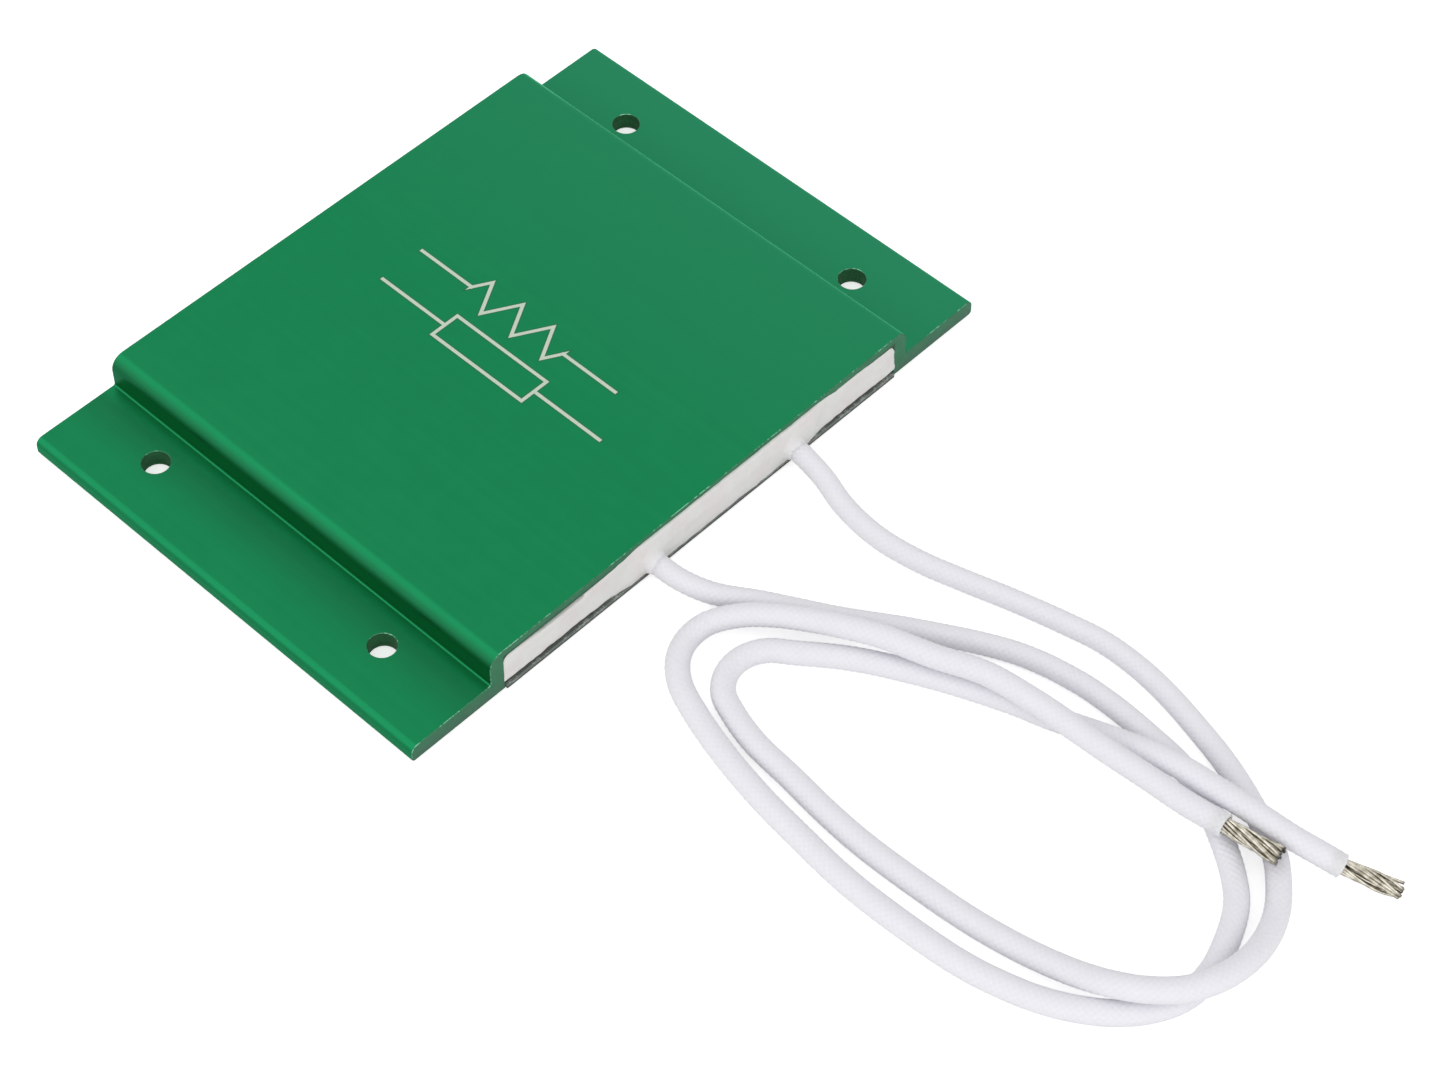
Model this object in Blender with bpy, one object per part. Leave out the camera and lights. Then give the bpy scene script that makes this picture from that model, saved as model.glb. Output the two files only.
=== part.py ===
"""Flat power resistor in an extruded aluminium housing, with two insulated leads leaving one sawn end.

The housing is a hat section: a low box between two flanges with plain mounting holes. A thin base plate
closes it underneath, potting closes both ends, and a wire-wound former lies between two mica sheets.
X runs across the flanges, Y along the extrusion with the lead end at -Y, and Z is up. The origin is at
the middle of the underside. Lengths are in metres.
"""

import math

import bmesh
import bpy
from mathutils import Matrix, Vector

# Housing
BOX_WIDTH = 0.0636
FLANGE_WIDTH = 0.0112
HOUSING_WIDTH = BOX_WIDTH + 2 * FLANGE_WIDTH
HOUSING_LENGTH = 0.0595
HOUSING_HEIGHT = 0.0062
FLANGE_THICKNESS = 0.0022
TOP_WALL = 0.0012
SIDE_WALL = 0.0019
BOX_EDGE_RADIUS = 0.0012
WEB_FILLET = 0.00025
FLANGE_EDGE_RADIUS = 0.0009
FLANGE_FOOT_RADIUS = 0.0004
POCKET_CORNER_RADIUS = 0.0008

# Mounting holes
HOLE_DIAMETER = 0.0032
HOLE_FROM_BOX = 0.0042
HOLE_SPACING_X = BOX_WIDTH + 2 * HOLE_FROM_BOX
HOLE_SPACING_Y = 0.0358

# Gap kept between pieces that touch on the real product
SEAT = 0.0003

# Base plate and resistance element, from the underside up
BASE_PLATE_THICKNESS = 0.0006
LOWER_SHEET_THICKNESS = 0.0003
UPPER_SHEET_THICKNESS = 0.0003
FORMER_CORNER_RADIUS = 0.0010
WIRE_DIAMETER = 0.0004
WINDING_PITCH = 0.0014
WINDING_MARGIN = 0.0018
SIDE_ROOM = 0.0012
REAR_ROOM = 0.0028

# Terminal straps
STRAP_WIDTH = 0.0015
STRAP_THICKNESS = 0.0004
STRAP_REACH = 0.0020

# Potting: flush in the window at its two sides, and a bead that runs over the edges where the leads leave
POTTING_DEPTH = 0.0082
POTTING_PROUD = 0.0005
BEAD_PROUD = 0.0010
BEAD_FOOT = 0.0002
BEAD_BELOW_TOP = 0.0006
BEAD_CROWN = HOUSING_HEIGHT - BEAD_BELOW_TOP
BEAD_LEFT = -0.0145
BEAD_RIGHT = 0.0190
BEAD_BLEND = 0.0035
BEAD_ROUNDNESS = 0.6

# Leads
LEAD_DIAMETER = 0.0025
LEAD_WALL = 0.0004
LEFT_EXIT_X = -0.0089
RIGHT_EXIT_X = 0.0128
CRIMP_LENGTH = 0.0040
CRIMP_OVERLAP = 0.0032
STRANDS_ROUND = 12
STRAND_GROOVE = 0.00012
STRIPPED_LENGTH = 0.0064
STRAND_LAY = 0.0160
STRAND_FLARE = 0.12
LEAD_STRAIGHT = 0.0008

# Points down the middle of each lead, from just past the potting to the end of the insulation
LEFT_ROUTE = [
    (-0.0084, -0.0341, 0.0022), (-0.0070, -0.0373, 0.0015),
    (-0.0040, -0.0420, 0.0013), (-0.0001, -0.0490, 0.0013), (0.0044, -0.0561, 0.0013),
    (0.0093, -0.0655, 0.0013), (0.0108, -0.0721, 0.0013), (0.0110, -0.0770, 0.0013),
    (0.0106, -0.0823, 0.0013), (0.0100, -0.0866, 0.0013), (0.0084, -0.0910, 0.0013),
    (0.0057, -0.0955, 0.0013), (0.0032, -0.0989, 0.0013), (0.0007, -0.1013, 0.0013),
    (-0.0031, -0.1032, 0.0013), (-0.0072, -0.1044, 0.0013), (-0.0108, -0.1044, 0.0013),
    (-0.0139, -0.1032, 0.0013), (-0.0169, -0.1008, 0.0013), (-0.0192, -0.0978, 0.0013),
    (-0.0210, -0.0943, 0.0013), (-0.0223, -0.0903, 0.0013), (-0.0232, -0.0859, 0.0013),
    (-0.0238, -0.0762, 0.0013), (-0.0237, -0.0707, 0.0013), (-0.0231, -0.0648, 0.0013),
    (-0.0223, -0.0586, 0.0013), (-0.0211, -0.0527, 0.0013), (-0.0194, -0.0469, 0.0013),
    (-0.0177, -0.0430, 0.0013), (-0.0156, -0.0407, 0.0013), (-0.0131, -0.0396, 0.0013),
    (-0.0104, -0.0398, 0.0016), (-0.0076, -0.0418, 0.0022), (-0.0053, -0.0447, 0.0027),
    (-0.0034, -0.0480, 0.0031), (-0.0019, -0.0515, 0.0037), (-0.0005, -0.0551, 0.0041),
    (0.0013, -0.0609, 0.0042), (0.0033, -0.0661, 0.0042), (0.0041, -0.0722, 0.0042),
    (0.0044, -0.0810, 0.0042), (0.0048, -0.0868, 0.0041), (0.0050, -0.0912, 0.0041),
    (0.0056, -0.0956, 0.0041),
]
RIGHT_ROUTE = [
    (0.0124, -0.0352, 0.0021), (0.0114, -0.0393, 0.0014),
    (0.0108, -0.0447, 0.0013), (0.0114, -0.0501, 0.0013), (0.0127, -0.0551, 0.0013),
    (0.0143, -0.0606, 0.0013), (0.0157, -0.0663, 0.0013), (0.0166, -0.0710, 0.0013),
    (0.0166, -0.0757, 0.0013), (0.0160, -0.0800, 0.0013), (0.0148, -0.0849, 0.0013),
    (0.0135, -0.0893, 0.0013), (0.0119, -0.0933, 0.0013), (0.0100, -0.0971, 0.0013),
    (0.0081, -0.1002, 0.0013), (0.0056, -0.1027, 0.0013), (0.0026, -0.1048, 0.0014),
    (-0.0012, -0.1062, 0.0022), (-0.0052, -0.1067, 0.0033), (-0.0090, -0.1062, 0.0041),
    (-0.0118, -0.1048, 0.0042), (-0.0142, -0.1025, 0.0042), (-0.0158, -0.0996, 0.0037),
    (-0.0167, -0.0956, 0.0023), (-0.0176, -0.0907, 0.0014), (-0.0185, -0.0857, 0.0013),
    (-0.0190, -0.0810, 0.0013), (-0.0194, -0.0708, 0.0013), (-0.0191, -0.0651, 0.0013),
    (-0.0184, -0.0591, 0.0013), (-0.0178, -0.0536, 0.0013), (-0.0166, -0.0494, 0.0013),
    (-0.0155, -0.0471, 0.0013), (-0.0134, -0.0456, 0.0013), (-0.0108, -0.0454, 0.0013),
    (-0.0085, -0.0465, 0.0013),
    (-0.0066, -0.0489, 0.0013), (-0.0030, -0.0538, 0.0013), (0.0011, -0.0616, 0.0013),
    (0.0042, -0.0693, 0.0013), (0.0054, -0.0733, 0.0013), (0.0066, -0.0769, 0.0015),
    (0.0073, -0.0807, 0.0024), (0.0077, -0.0846, 0.0036), (0.0080, -0.0880, 0.0042),
    (0.0083, -0.0918, 0.0043), (0.0086, -0.0963, 0.0044), (0.0092, -0.1011, 0.0039),
    (0.0101, -0.1041, 0.0031), (0.0109, -0.1063, 0.0023),
]
LEFT_TIP = (0.0066, -0.1022, 0.0039)
RIGHT_TIP = (0.0132, -0.1122, 0.0013)

# Levels and half sizes that follow from the values above
POCKET_HALF = BOX_WIDTH / 2 - SIDE_WALL
POCKET_TOP = HOUSING_HEIGHT - TOP_WALL
FILL_HALF = POCKET_HALF - SEAT
FILL_BOTTOM = BASE_PLATE_THICKNESS + SEAT
FILL_TOP = POCKET_TOP - SEAT
LOWER_SHEET_TOP = FILL_BOTTOM + LOWER_SHEET_THICKNESS
UPPER_SHEET_BOTTOM = FILL_TOP - UPPER_SHEET_THICKNESS
ELEMENT_Z = (LOWER_SHEET_TOP + UPPER_SHEET_BOTTOM) / 2
FORMER_THICKNESS = UPPER_SHEET_BOTTOM - LOWER_SHEET_TOP - 2 * (WIRE_DIAMETER + 2 * SEAT)
WINDING_RADIUS = FORMER_THICKNESS / 2 + SEAT + WIRE_DIAMETER / 2
WINDING_TOP = ELEMENT_Z + WINDING_RADIUS
STRAP_TOP = WINDING_TOP - WIRE_DIAMETER / 2 - SEAT
END_FACE = -HOUSING_LENGTH / 2
POTTING_INNER = END_FACE + POTTING_DEPTH
WINDING_PROUD = WINDING_RADIUS + WIRE_DIAMETER / 2
FORMER_FRONT = POTTING_INNER + SEAT + STRAP_WIDTH + SEAT + WINDING_PROUD
FORMER_LENGTH = -POTTING_INNER - REAR_ROOM - WINDING_PROUD - FORMER_FRONT
FORMER_MIDDLE = FORMER_FRONT + FORMER_LENGTH / 2
FORMER_WIDTH = 2 * (FILL_HALF - SIDE_ROOM - STRAP_WIDTH - SEAT)
STRAP_INNER = FORMER_WIDTH / 2 + SEAT
WINDING_TURNS = int((FORMER_WIDTH - 2 * WINDING_MARGIN) / WINDING_PITCH)
BEAD_FRONT = END_FACE - BEAD_PROUD
BUNDLE_DIAMETER = LEAD_DIAMETER - 2 * LEAD_WALL
CORE_DIAMETER = BUNDLE_DIAMETER - 2 * SEAT
ROUTE_SPACING = 2 * LEAD_DIAMETER

# Fineness of curved stretches
ARC_STEPS = 6
WIRE_BEND_STEPS = 4
SPLINE_STEPS = 16

GREEN = (0.013, 0.223, 0.080, 1.0)
BASE_GREY = (0.36, 0.37, 0.36, 1.0)
POTTING_WHITE = (0.68, 0.68, 0.66, 1.0)
MICA = (0.52, 0.44, 0.30, 1.0)
FORMER_TAN = (0.60, 0.52, 0.38, 1.0)
WIRE_GREY = (0.42, 0.40, 0.37, 1.0)
TIN = (0.62, 0.61, 0.58, 1.0)
STRAND_TIN = (0.47, 0.45, 0.37, 1.0)
SLEEVE_WHITE = (0.76, 0.76, 0.82, 1.0)


def clear_scene():
    for obj in list(bpy.data.objects):
        bpy.data.objects.remove(obj, do_unlink=True)


def material(name, colour, roughness, metallic=0.0):
    made = bpy.data.materials.new(name)
    made.use_nodes = True
    shader = made.node_tree.nodes["Principled BSDF"]
    shader.inputs["Base Color"].default_value = colour
    shader.inputs["Roughness"].default_value = roughness
    shader.inputs["Metallic"].default_value = metallic
    made.diffuse_color = colour
    return made


def add_object(name, data, look, location=(0.0, 0.0, 0.0)):
    obj = bpy.data.objects.new(name, data)
    bpy.context.scene.collection.objects.link(obj)
    obj.location = location
    if look is not None:
        data.materials.append(look)
    return obj


def finished_mesh(name, shape, smooth_angle=math.radians(35)):
    """The mesh of a bmesh, with its faces turned outwards and its round stretches shaded smooth."""
    bmesh.ops.recalc_face_normals(shape, faces=shape.faces)
    data = bpy.data.meshes.new(name)
    shape.to_mesh(data)
    shape.free()
    data.shade_smooth()
    data.set_sharp_from_angle(angle=smooth_angle)
    return data


def helper(obj):
    """Keeps a cutter or a joining body out of the model itself."""
    obj.hide_render = True
    obj.display_type = "WIRE"
    return obj


def boolean(obj, other, operation):
    modifier = obj.modifiers.new(operation.title() + " " + other.name, "BOOLEAN")
    modifier.operation = operation
    modifier.solver = "EXACT"
    modifier.object = other


def arc(centre, radius, start, end, steps=ARC_STEPS):
    """Points of an arc between two angles in degrees, ends included."""
    points = []
    for step in range(steps + 1):
        angle = math.radians(start + (end - start) * step / steps)
        points.append((centre[0] + radius * math.cos(angle), centre[1] + radius * math.sin(angle)))
    return points


def prism(name, outline, place, direction):
    """A closed body: an outline placed in space by a function, then swept along a direction."""
    shape = bmesh.new()
    face = shape.faces.new([shape.verts.new(place(*point)) for point in outline])
    swept = bmesh.ops.extrude_face_region(shape, geom=[face])
    moved = [item for item in swept["geom"] if isinstance(item, bmesh.types.BMVert)]
    bmesh.ops.translate(shape, verts=moved, vec=direction)
    return finished_mesh(name, shape)


def block(name, low, high):
    outline = [(low[0], low[1]), (high[0], low[1]), (high[0], high[1]), (low[0], high[1])]
    return prism(name, outline, lambda x, y: (x, y, low[2]), (0.0, 0.0, high[2] - low[2]))


def tube_along_y(name, outer, bore, length, sides=24):
    """A round tube, or a rod where the bore is 0, from the origin towards -Y."""
    shape = bmesh.new()

    def ring(radius, y):
        points = arc((0.0, 0.0), radius, 0, 360, sides)[:-1]
        return [shape.verts.new((x, y, z)) for x, z in points]

    def bridge(first, second):
        for i in range(sides):
            j = (i + 1) % sides
            shape.faces.new((first[i], first[j], second[j], second[i]))

    near, far = ring(outer, 0.0), ring(outer, -length)
    bridge(near, far)
    if bore > 0:
        inner_near, inner_far = ring(bore, 0.0), ring(bore, -length)
        bridge(inner_near, inner_far)
        bridge(near, inner_near)
        bridge(far, inner_far)
    else:
        shape.faces.new(near)
        shape.faces.new(far)
    return finished_mesh(name, shape)


def hat_outline():
    """The extrusion's cross-section: a flanged hat with a pocket open at the underside."""
    box, wide = BOX_WIDTH / 2, HOUSING_WIDTH / 2
    top, flange = HOUSING_HEIGHT, FLANGE_THICKNESS
    half = arc((box - BOX_EDGE_RADIUS, top - BOX_EDGE_RADIUS), BOX_EDGE_RADIUS, 90, 0)
    half += arc((box + WEB_FILLET, flange + WEB_FILLET), WEB_FILLET, 180, 270)
    half += arc((wide - FLANGE_EDGE_RADIUS, flange - FLANGE_EDGE_RADIUS), FLANGE_EDGE_RADIUS, 90, 0)
    half += arc((wide - FLANGE_FOOT_RADIUS, FLANGE_FOOT_RADIUS), FLANGE_FOOT_RADIUS, 0, -90)
    half += [(POCKET_HALF, 0.0)]
    corner = (POCKET_HALF - POCKET_CORNER_RADIUS, POCKET_TOP - POCKET_CORNER_RADIUS)
    half += arc(corner, POCKET_CORNER_RADIUS, 0, 90)
    return half + [(-x, z) for x, z in reversed(half)]


def make_housing(look):
    profile = prism("housing", hat_outline(), lambda x, z: (x, END_FACE, z), (0.0, HOUSING_LENGTH, 0.0))
    housing = add_object("housing", profile, look)
    drill_length = 3 * FLANGE_THICKNESS
    for side in (-1, 1):
        for end in (-1, 1):
            drill = tube_along_y("drill", HOLE_DIAMETER / 2, 0.0, drill_length, sides=32)
            drill.transform(Matrix.Rotation(math.radians(90), 4, "X"))
            where = (side * HOLE_SPACING_X / 2, end * HOLE_SPACING_Y / 2, 2 * FLANGE_THICKNESS)
            cutter = helper(add_object("hole_cutter", drill, None, where))
            boolean(housing, cutter, "DIFFERENCE")
    return housing


def make_base_plate(look):
    data = block("base_plate", (-FILL_HALF, END_FACE, 0.0), (FILL_HALF, -END_FACE, BASE_PLATE_THICKNESS))
    return add_object("base_plate", data, look)


def blend(value):
    """Smooth step from 0 to 1."""
    value = min(max(value, 0.0), 1.0)
    return value * value * (3 - 2 * value)


def mix(low, high, share):
    return low + (high - low) * share


def bead_mesh(name, swell, stations=36, steps=8):
    """The potting's outer face, lofted across the window; swell(x) is 1 where it runs over the edges."""
    shape = bmesh.new()
    back = END_FACE - SEAT
    sections = []
    for station in range(stations + 1):
        x = mix(-FILL_HALF, FILL_HALF, station / stations)
        share = swell(x)
        low = mix(FILL_BOTTOM, BEAD_FOOT, share)
        high = mix(FILL_TOP, BEAD_CROWN, share)
        depth = mix(POTTING_PROUD, BEAD_PROUD, share) - SEAT
        section = []
        for step in range(steps + 1):
            angle = math.radians(-90 + 180 * step / steps)
            y = back - depth * abs(math.cos(angle)) ** BEAD_ROUNDNESS
            z = (low + high) / 2 + (high - low) / 2 * math.sin(angle)
            section.append(shape.verts.new((x, y, z)))
        sections.append(section)
    for one, two in zip(sections, sections[1:]):
        for i in range(steps):
            shape.faces.new((one[i], one[i + 1], two[i + 1], two[i]))
        shape.faces.new((one[steps], one[0], two[0], two[steps]))
    shape.faces.new(sections[0])
    shape.faces.new(sections[-1])
    return finished_mesh(name, shape)


def potting(name, swell, turn, look):
    """One end's potting, a core in the pocket joined to its outer face, turned about Z to its own end."""
    front = END_FACE - (SEAT + POTTING_PROUD) / 2
    core = block(name, (-FILL_HALF, front, FILL_BOTTOM), (FILL_HALF, POTTING_INNER, FILL_TOP))
    obj = add_object(name, core, look)
    bead = helper(add_object(name + "_bead", bead_mesh(name + "_bead", swell), None))
    boolean(obj, bead, "UNION")
    for piece in (obj, bead):
        piece.rotation_euler = (0.0, 0.0, turn)
    return obj


def make_front_potting(look):
    def swell(x):
        return blend((x - BEAD_LEFT) / BEAD_BLEND) * blend((BEAD_RIGHT - x) / BEAD_BLEND)

    obj = potting("front_potting", swell, 0.0, look)
    channel_length = 2 * (POTTING_DEPTH + BEAD_PROUD)
    for exit_x in (LEFT_EXIT_X, RIGHT_EXIT_X):
        channel = tube_along_y("lead_channel", LEAD_DIAMETER / 2 + SEAT, 0.0, channel_length)
        where = (exit_x, END_FACE + channel_length / 2, ELEMENT_Z)
        boolean(obj, helper(add_object("lead_channel", channel, None, where)), "DIFFERENCE")
    return obj


def make_rear_potting(look):
    return potting("rear_potting", lambda x: 0.0, math.pi, look)


def make_sheets(look):
    edge = POTTING_INNER + SEAT
    lower = block("lower_mica_sheet", (-FILL_HALF, edge, FILL_BOTTOM), (FILL_HALF, -edge, LOWER_SHEET_TOP))
    upper = block("upper_mica_sheet", (-FILL_HALF, edge, UPPER_SHEET_BOTTOM), (FILL_HALF, -edge, FILL_TOP))
    return [add_object("lower_mica_sheet", lower, look), add_object("upper_mica_sheet", upper, look)]


def make_former(look):
    """A card with rounded corners, standing edge to edge between the terminal straps."""
    half = FORMER_WIDTH / 2 - FORMER_CORNER_RADIUS
    deep = FORMER_LENGTH / 2 - FORMER_CORNER_RADIUS
    outline = []
    for quarter, (x, y) in enumerate(((half, deep), (-half, deep), (-half, -deep), (half, -deep))):
        outline += arc((x, y), FORMER_CORNER_RADIUS, 90 * quarter, 90 * quarter + 90)
    low = -FORMER_THICKNESS / 2
    card = prism("former_card", outline, lambda x, y: (x, y, low), (0.0, 0.0, FORMER_THICKNESS))
    return add_object("former_card", card, look, (0.0, FORMER_MIDDLE, ELEMENT_Z))


def poly_curve(name, points, radius, resolution, look):
    data = bpy.data.curves.new(name, "CURVE")
    data.dimensions = "3D"
    data.bevel_depth = radius
    data.bevel_resolution = resolution
    data.use_fill_caps = True
    spline = data.splines.new("POLY")
    spline.points.add(len(points) - 1)
    for item, point in zip(spline.points, points):
        item.co = (*point, 1.0)
    return add_object(name, data, look)


def make_winding(look):
    """Resistance wire wound round the former, each end led out over its strap."""
    half = FORMER_LENGTH / 2
    width = WINDING_TURNS * WINDING_PITCH
    tap_x = STRAP_INNER + STRAP_WIDTH / 2
    points = [Vector((-tap_x, FORMER_MIDDLE, WINDING_TOP))]
    turn = [(0.0, WINDING_RADIUS)]
    turn += arc((half, 0.0), WINDING_RADIUS, 90, -90, WIRE_BEND_STEPS)
    turn += arc((-half, 0.0), WINDING_RADIUS, -90, -270, WIRE_BEND_STEPS)
    for k in range(WINDING_TURNS):
        for i, (y, z) in enumerate(turn):
            x = -width / 2 + (k + i / len(turn)) * WINDING_PITCH
            points.append(Vector((x, FORMER_MIDDLE + y, ELEMENT_Z + z)))
    points.append(Vector((tap_x, FORMER_MIDDLE, WINDING_TOP)))
    return poly_curve("resistance_winding", points, WIRE_DIAMETER / 2, 1, look)


def make_strap(side, exit_x, look):
    """An L-shaped strip from a lead's crimp out to the end of the former and along it."""
    start = POTTING_INNER + SEAT
    outer = STRAP_INNER + STRAP_WIDTH
    reach = FORMER_MIDDLE + STRAP_REACH
    root = exit_x * side - LEAD_DIAMETER / 2
    outline = [
        (root, start),
        (outer, start),
        (outer, reach),
        (STRAP_INNER, reach),
        (STRAP_INNER, start + STRAP_WIDTH),
        (root, start + STRAP_WIDTH),
    ]
    low = STRAP_TOP - STRAP_THICKNESS
    name = ("left" if side < 0 else "right") + "_terminal_strap"
    data = prism(name, outline, lambda x, y: (side * x, y, low), (0.0, 0.0, STRAP_THICKNESS))
    return add_object(name, data, look)


def make_lead_end(side, exit_x, crimp_look, core_look, sleeve_look):
    """What lies inside the potting: the crimp, the bare conductor in it, and the sleeve's tail."""
    name = "left" if side < 0 else "right"
    bore = CORE_DIAMETER / 2 + SEAT
    crimp_rear = POTTING_INNER
    crimp = tube_along_y(name + "_crimp", LEAD_DIAMETER / 2, bore, CRIMP_LENGTH)
    tail_rear = crimp_rear - CRIMP_LENGTH - SEAT
    tail = tube_along_y(name + "_lead_tail", LEAD_DIAMETER / 2, bore, tail_rear - BEAD_FRONT)
    core_start = crimp_rear - (CRIMP_LENGTH - CRIMP_OVERLAP)
    core = tube_along_y(name + "_conductor", CORE_DIAMETER / 2, 0.0, core_start - BEAD_FRONT, sides=16)
    return [
        add_object(crimp.name, crimp, crimp_look, (exit_x, crimp_rear, ELEMENT_Z)),
        add_object(core.name, core, core_look, (exit_x, core_start, ELEMENT_Z)),
        add_object(tail.name, tail, sleeve_look, (exit_x, tail_rear, ELEMENT_Z)),
    ]


def smooth_route(points, spacing):
    """Even steps along a centripetal spline through the points."""
    places = [Vector(point) for point in points]
    places = [2 * places[0] - places[1], *places, 2 * places[-1] - places[-2]]
    dense = []
    for before, start, end, after in zip(places, places[1:], places[2:], places[3:]):
        knots = [0.0]
        for one, two in ((before, start), (start, end), (end, after)):
            knots.append(knots[-1] + (two - one).length ** 0.5)
        for step in range(SPLINE_STEPS):
            t = mix(knots[1], knots[2], step / SPLINE_STEPS)
            first = before.lerp(start, (t - knots[0]) / (knots[1] - knots[0]))
            second = start.lerp(end, (t - knots[1]) / (knots[2] - knots[1]))
            third = end.lerp(after, (t - knots[2]) / (knots[3] - knots[2]))
            left = first.lerp(second, (t - knots[0]) / (knots[2] - knots[0]))
            right = second.lerp(third, (t - knots[1]) / (knots[3] - knots[1]))
            dense.append(left.lerp(right, (t - knots[1]) / (knots[2] - knots[1])))
    dense.append(places[-2])
    travelled = [0.0]
    for one, two in zip(dense, dense[1:]):
        travelled.append(travelled[-1] + (two - one).length)
    count = round(travelled[-1] / spacing)
    route, j = [], 0
    for i in range(count + 1):
        want = travelled[-1] * i / count
        while j < len(dense) - 2 and travelled[j + 1] < want:
            j += 1
        share = (want - travelled[j]) / (travelled[j + 1] - travelled[j])
        route.append(dense[j].lerp(dense[j + 1], share))
    return route


def make_strands(name, end, tip, look, sections=14, points_each=3):
    """The stripped end: one twisted, grooved body that opens a little towards its tip."""
    way = Vector(tip) - Vector(end)
    radius = BUNDLE_DIAMETER / 2
    around = STRANDS_ROUND * points_each
    shape = bmesh.new()
    rings = []
    for section in range(sections + 1):
        share = section / sections
        along = STRIPPED_LENGTH * share
        twist = 2 * math.pi * along / STRAND_LAY
        swelled = 1 + STRAND_FLARE * blend(2 * share - 1)
        ring = []
        for i in range(around):
            groove = STRAND_GROOVE * (1 - abs(math.sin(math.pi * i / points_each)))
            angle = 2 * math.pi * i / around + twist
            r = (radius - groove) * swelled
            ring.append(shape.verts.new((r * math.cos(angle), r * math.sin(angle), along)))
        rings.append(ring)
    for one, two in zip(rings, rings[1:]):
        for i in range(around):
            j = (i + 1) % around
            shape.faces.new((one[i], one[j], two[j], two[i]))
    shape.faces.new(rings[0])
    shape.faces.new(rings[-1])
    obj = add_object(name, finished_mesh(name, shape), look, Vector(end) + way.normalized() * SEAT)
    obj.rotation_euler = way.to_track_quat("Z", "Y").to_euler()
    return obj


def make_lead(name, exit_x, route, tip, sleeve_look, strand_look):
    """A lead from the potting's face along its route, and the bare strands past its end."""
    start = Vector((exit_x, BEAD_FRONT - SEAT, ELEMENT_Z))
    bend = start - Vector((0.0, LEAD_STRAIGHT, 0.0))
    path = [start, *smooth_route([bend, *route], ROUTE_SPACING)]
    lead = poly_curve(name + "_lead", path, LEAD_DIAMETER / 2, 2, sleeve_look)
    return [lead, make_strands(name + "_strands", route[-1], tip, strand_look)]


def main():
    clear_scene()
    green = material("green_anodised", GREEN, 0.34, 0.35)
    plate = material("base_metal", BASE_GREY, 0.45, 0.9)
    white = material("potting", POTTING_WHITE, 0.6)
    mica = material("mica", MICA, 0.5)
    card = material("former", FORMER_TAN, 0.7)
    wire = material("resistance_wire", WIRE_GREY, 0.4, 0.9)
    tin = material("tinned_metal", TIN, 0.35, 0.9)
    strand = material("tinned_strands", STRAND_TIN, 0.35, 0.9)
    sleeve = material("lead_sleeve", SLEEVE_WHITE, 0.6)

    pieces = [make_housing(green), make_base_plate(plate)]
    pieces += [make_front_potting(white), make_rear_potting(white)]
    pieces += make_sheets(mica)
    pieces += [make_former(card), make_winding(wire)]
    for side, exit_x in ((-1, LEFT_EXIT_X), (1, RIGHT_EXIT_X)):
        pieces.append(make_strap(side, exit_x, tin))
        pieces += make_lead_end(side, exit_x, tin, strand, sleeve)
    pieces += make_lead("left", LEFT_EXIT_X, LEFT_ROUTE, LEFT_TIP, sleeve, strand)
    pieces += make_lead("right", RIGHT_EXIT_X, RIGHT_ROUTE, RIGHT_TIP, sleeve, strand)

    resistor = bpy.data.objects.new("resistor", None)
    bpy.context.scene.collection.objects.link(resistor)
    for piece in pieces:
        piece.parent = resistor


main()
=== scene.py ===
"""Dresses the flat power resistor and lights it as in the photograph.

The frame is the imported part's own: X across the flanges, Y along the extrusion with the lead end at -Y,
Z up from the mounting face. Lengths are in metres.
"""

import math
import random

import bmesh
import bpy
from mathutils import Matrix, Vector


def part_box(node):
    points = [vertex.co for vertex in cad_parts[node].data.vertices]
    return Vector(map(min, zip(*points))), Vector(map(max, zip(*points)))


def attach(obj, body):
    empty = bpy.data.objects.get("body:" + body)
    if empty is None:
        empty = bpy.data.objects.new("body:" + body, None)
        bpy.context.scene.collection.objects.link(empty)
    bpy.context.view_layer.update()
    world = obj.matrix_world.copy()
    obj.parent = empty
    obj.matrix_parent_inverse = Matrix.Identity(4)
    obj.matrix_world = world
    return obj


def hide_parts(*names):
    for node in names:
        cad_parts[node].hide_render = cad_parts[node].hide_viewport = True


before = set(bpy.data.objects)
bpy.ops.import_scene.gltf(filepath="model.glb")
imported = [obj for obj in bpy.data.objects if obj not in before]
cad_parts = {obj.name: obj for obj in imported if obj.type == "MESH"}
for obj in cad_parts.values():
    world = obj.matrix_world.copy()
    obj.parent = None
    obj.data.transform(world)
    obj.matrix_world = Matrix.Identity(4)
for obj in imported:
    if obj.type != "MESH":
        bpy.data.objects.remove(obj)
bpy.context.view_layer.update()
bpy.context.scene.view_settings.view_transform = "Standard"

# The photograph's view, fitted to the housing's corners and holes
VIEW_AZIMUTH = math.radians(-46.42)
VIEW_ELEVATION = math.radians(50.957)
VIEW_ROLL = math.radians(0.2248)
VIEW_CENTRE = Vector((-0.00037, -0.03214, 0.0))
VIEW_DISTANCE = 0.3805
VIEW_LENS = 89.14

# Sizes that the frame's boxes don't give
BOX_WIDTH = 0.0636
FLANGE_TOP = 0.0022
BOX_ROUNDING = 0.0012
FULL_ROUNDING = 0.0017
SEAT = 0.0003
TOP_WALL = 0.0012
WINDOW_HALF = 0.0299
POCKET_CORNER = 0.0008
SAWN_EDGE = 0.00010
PLATE_PROUD = 0.00024
PLATE_SPREAD = 0.00022
PLATE_BURR = 0.00003
HOLE_X = 0.0360
HOLE_Y = 0.0179
HOLE_REACH = 0.0018

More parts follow.
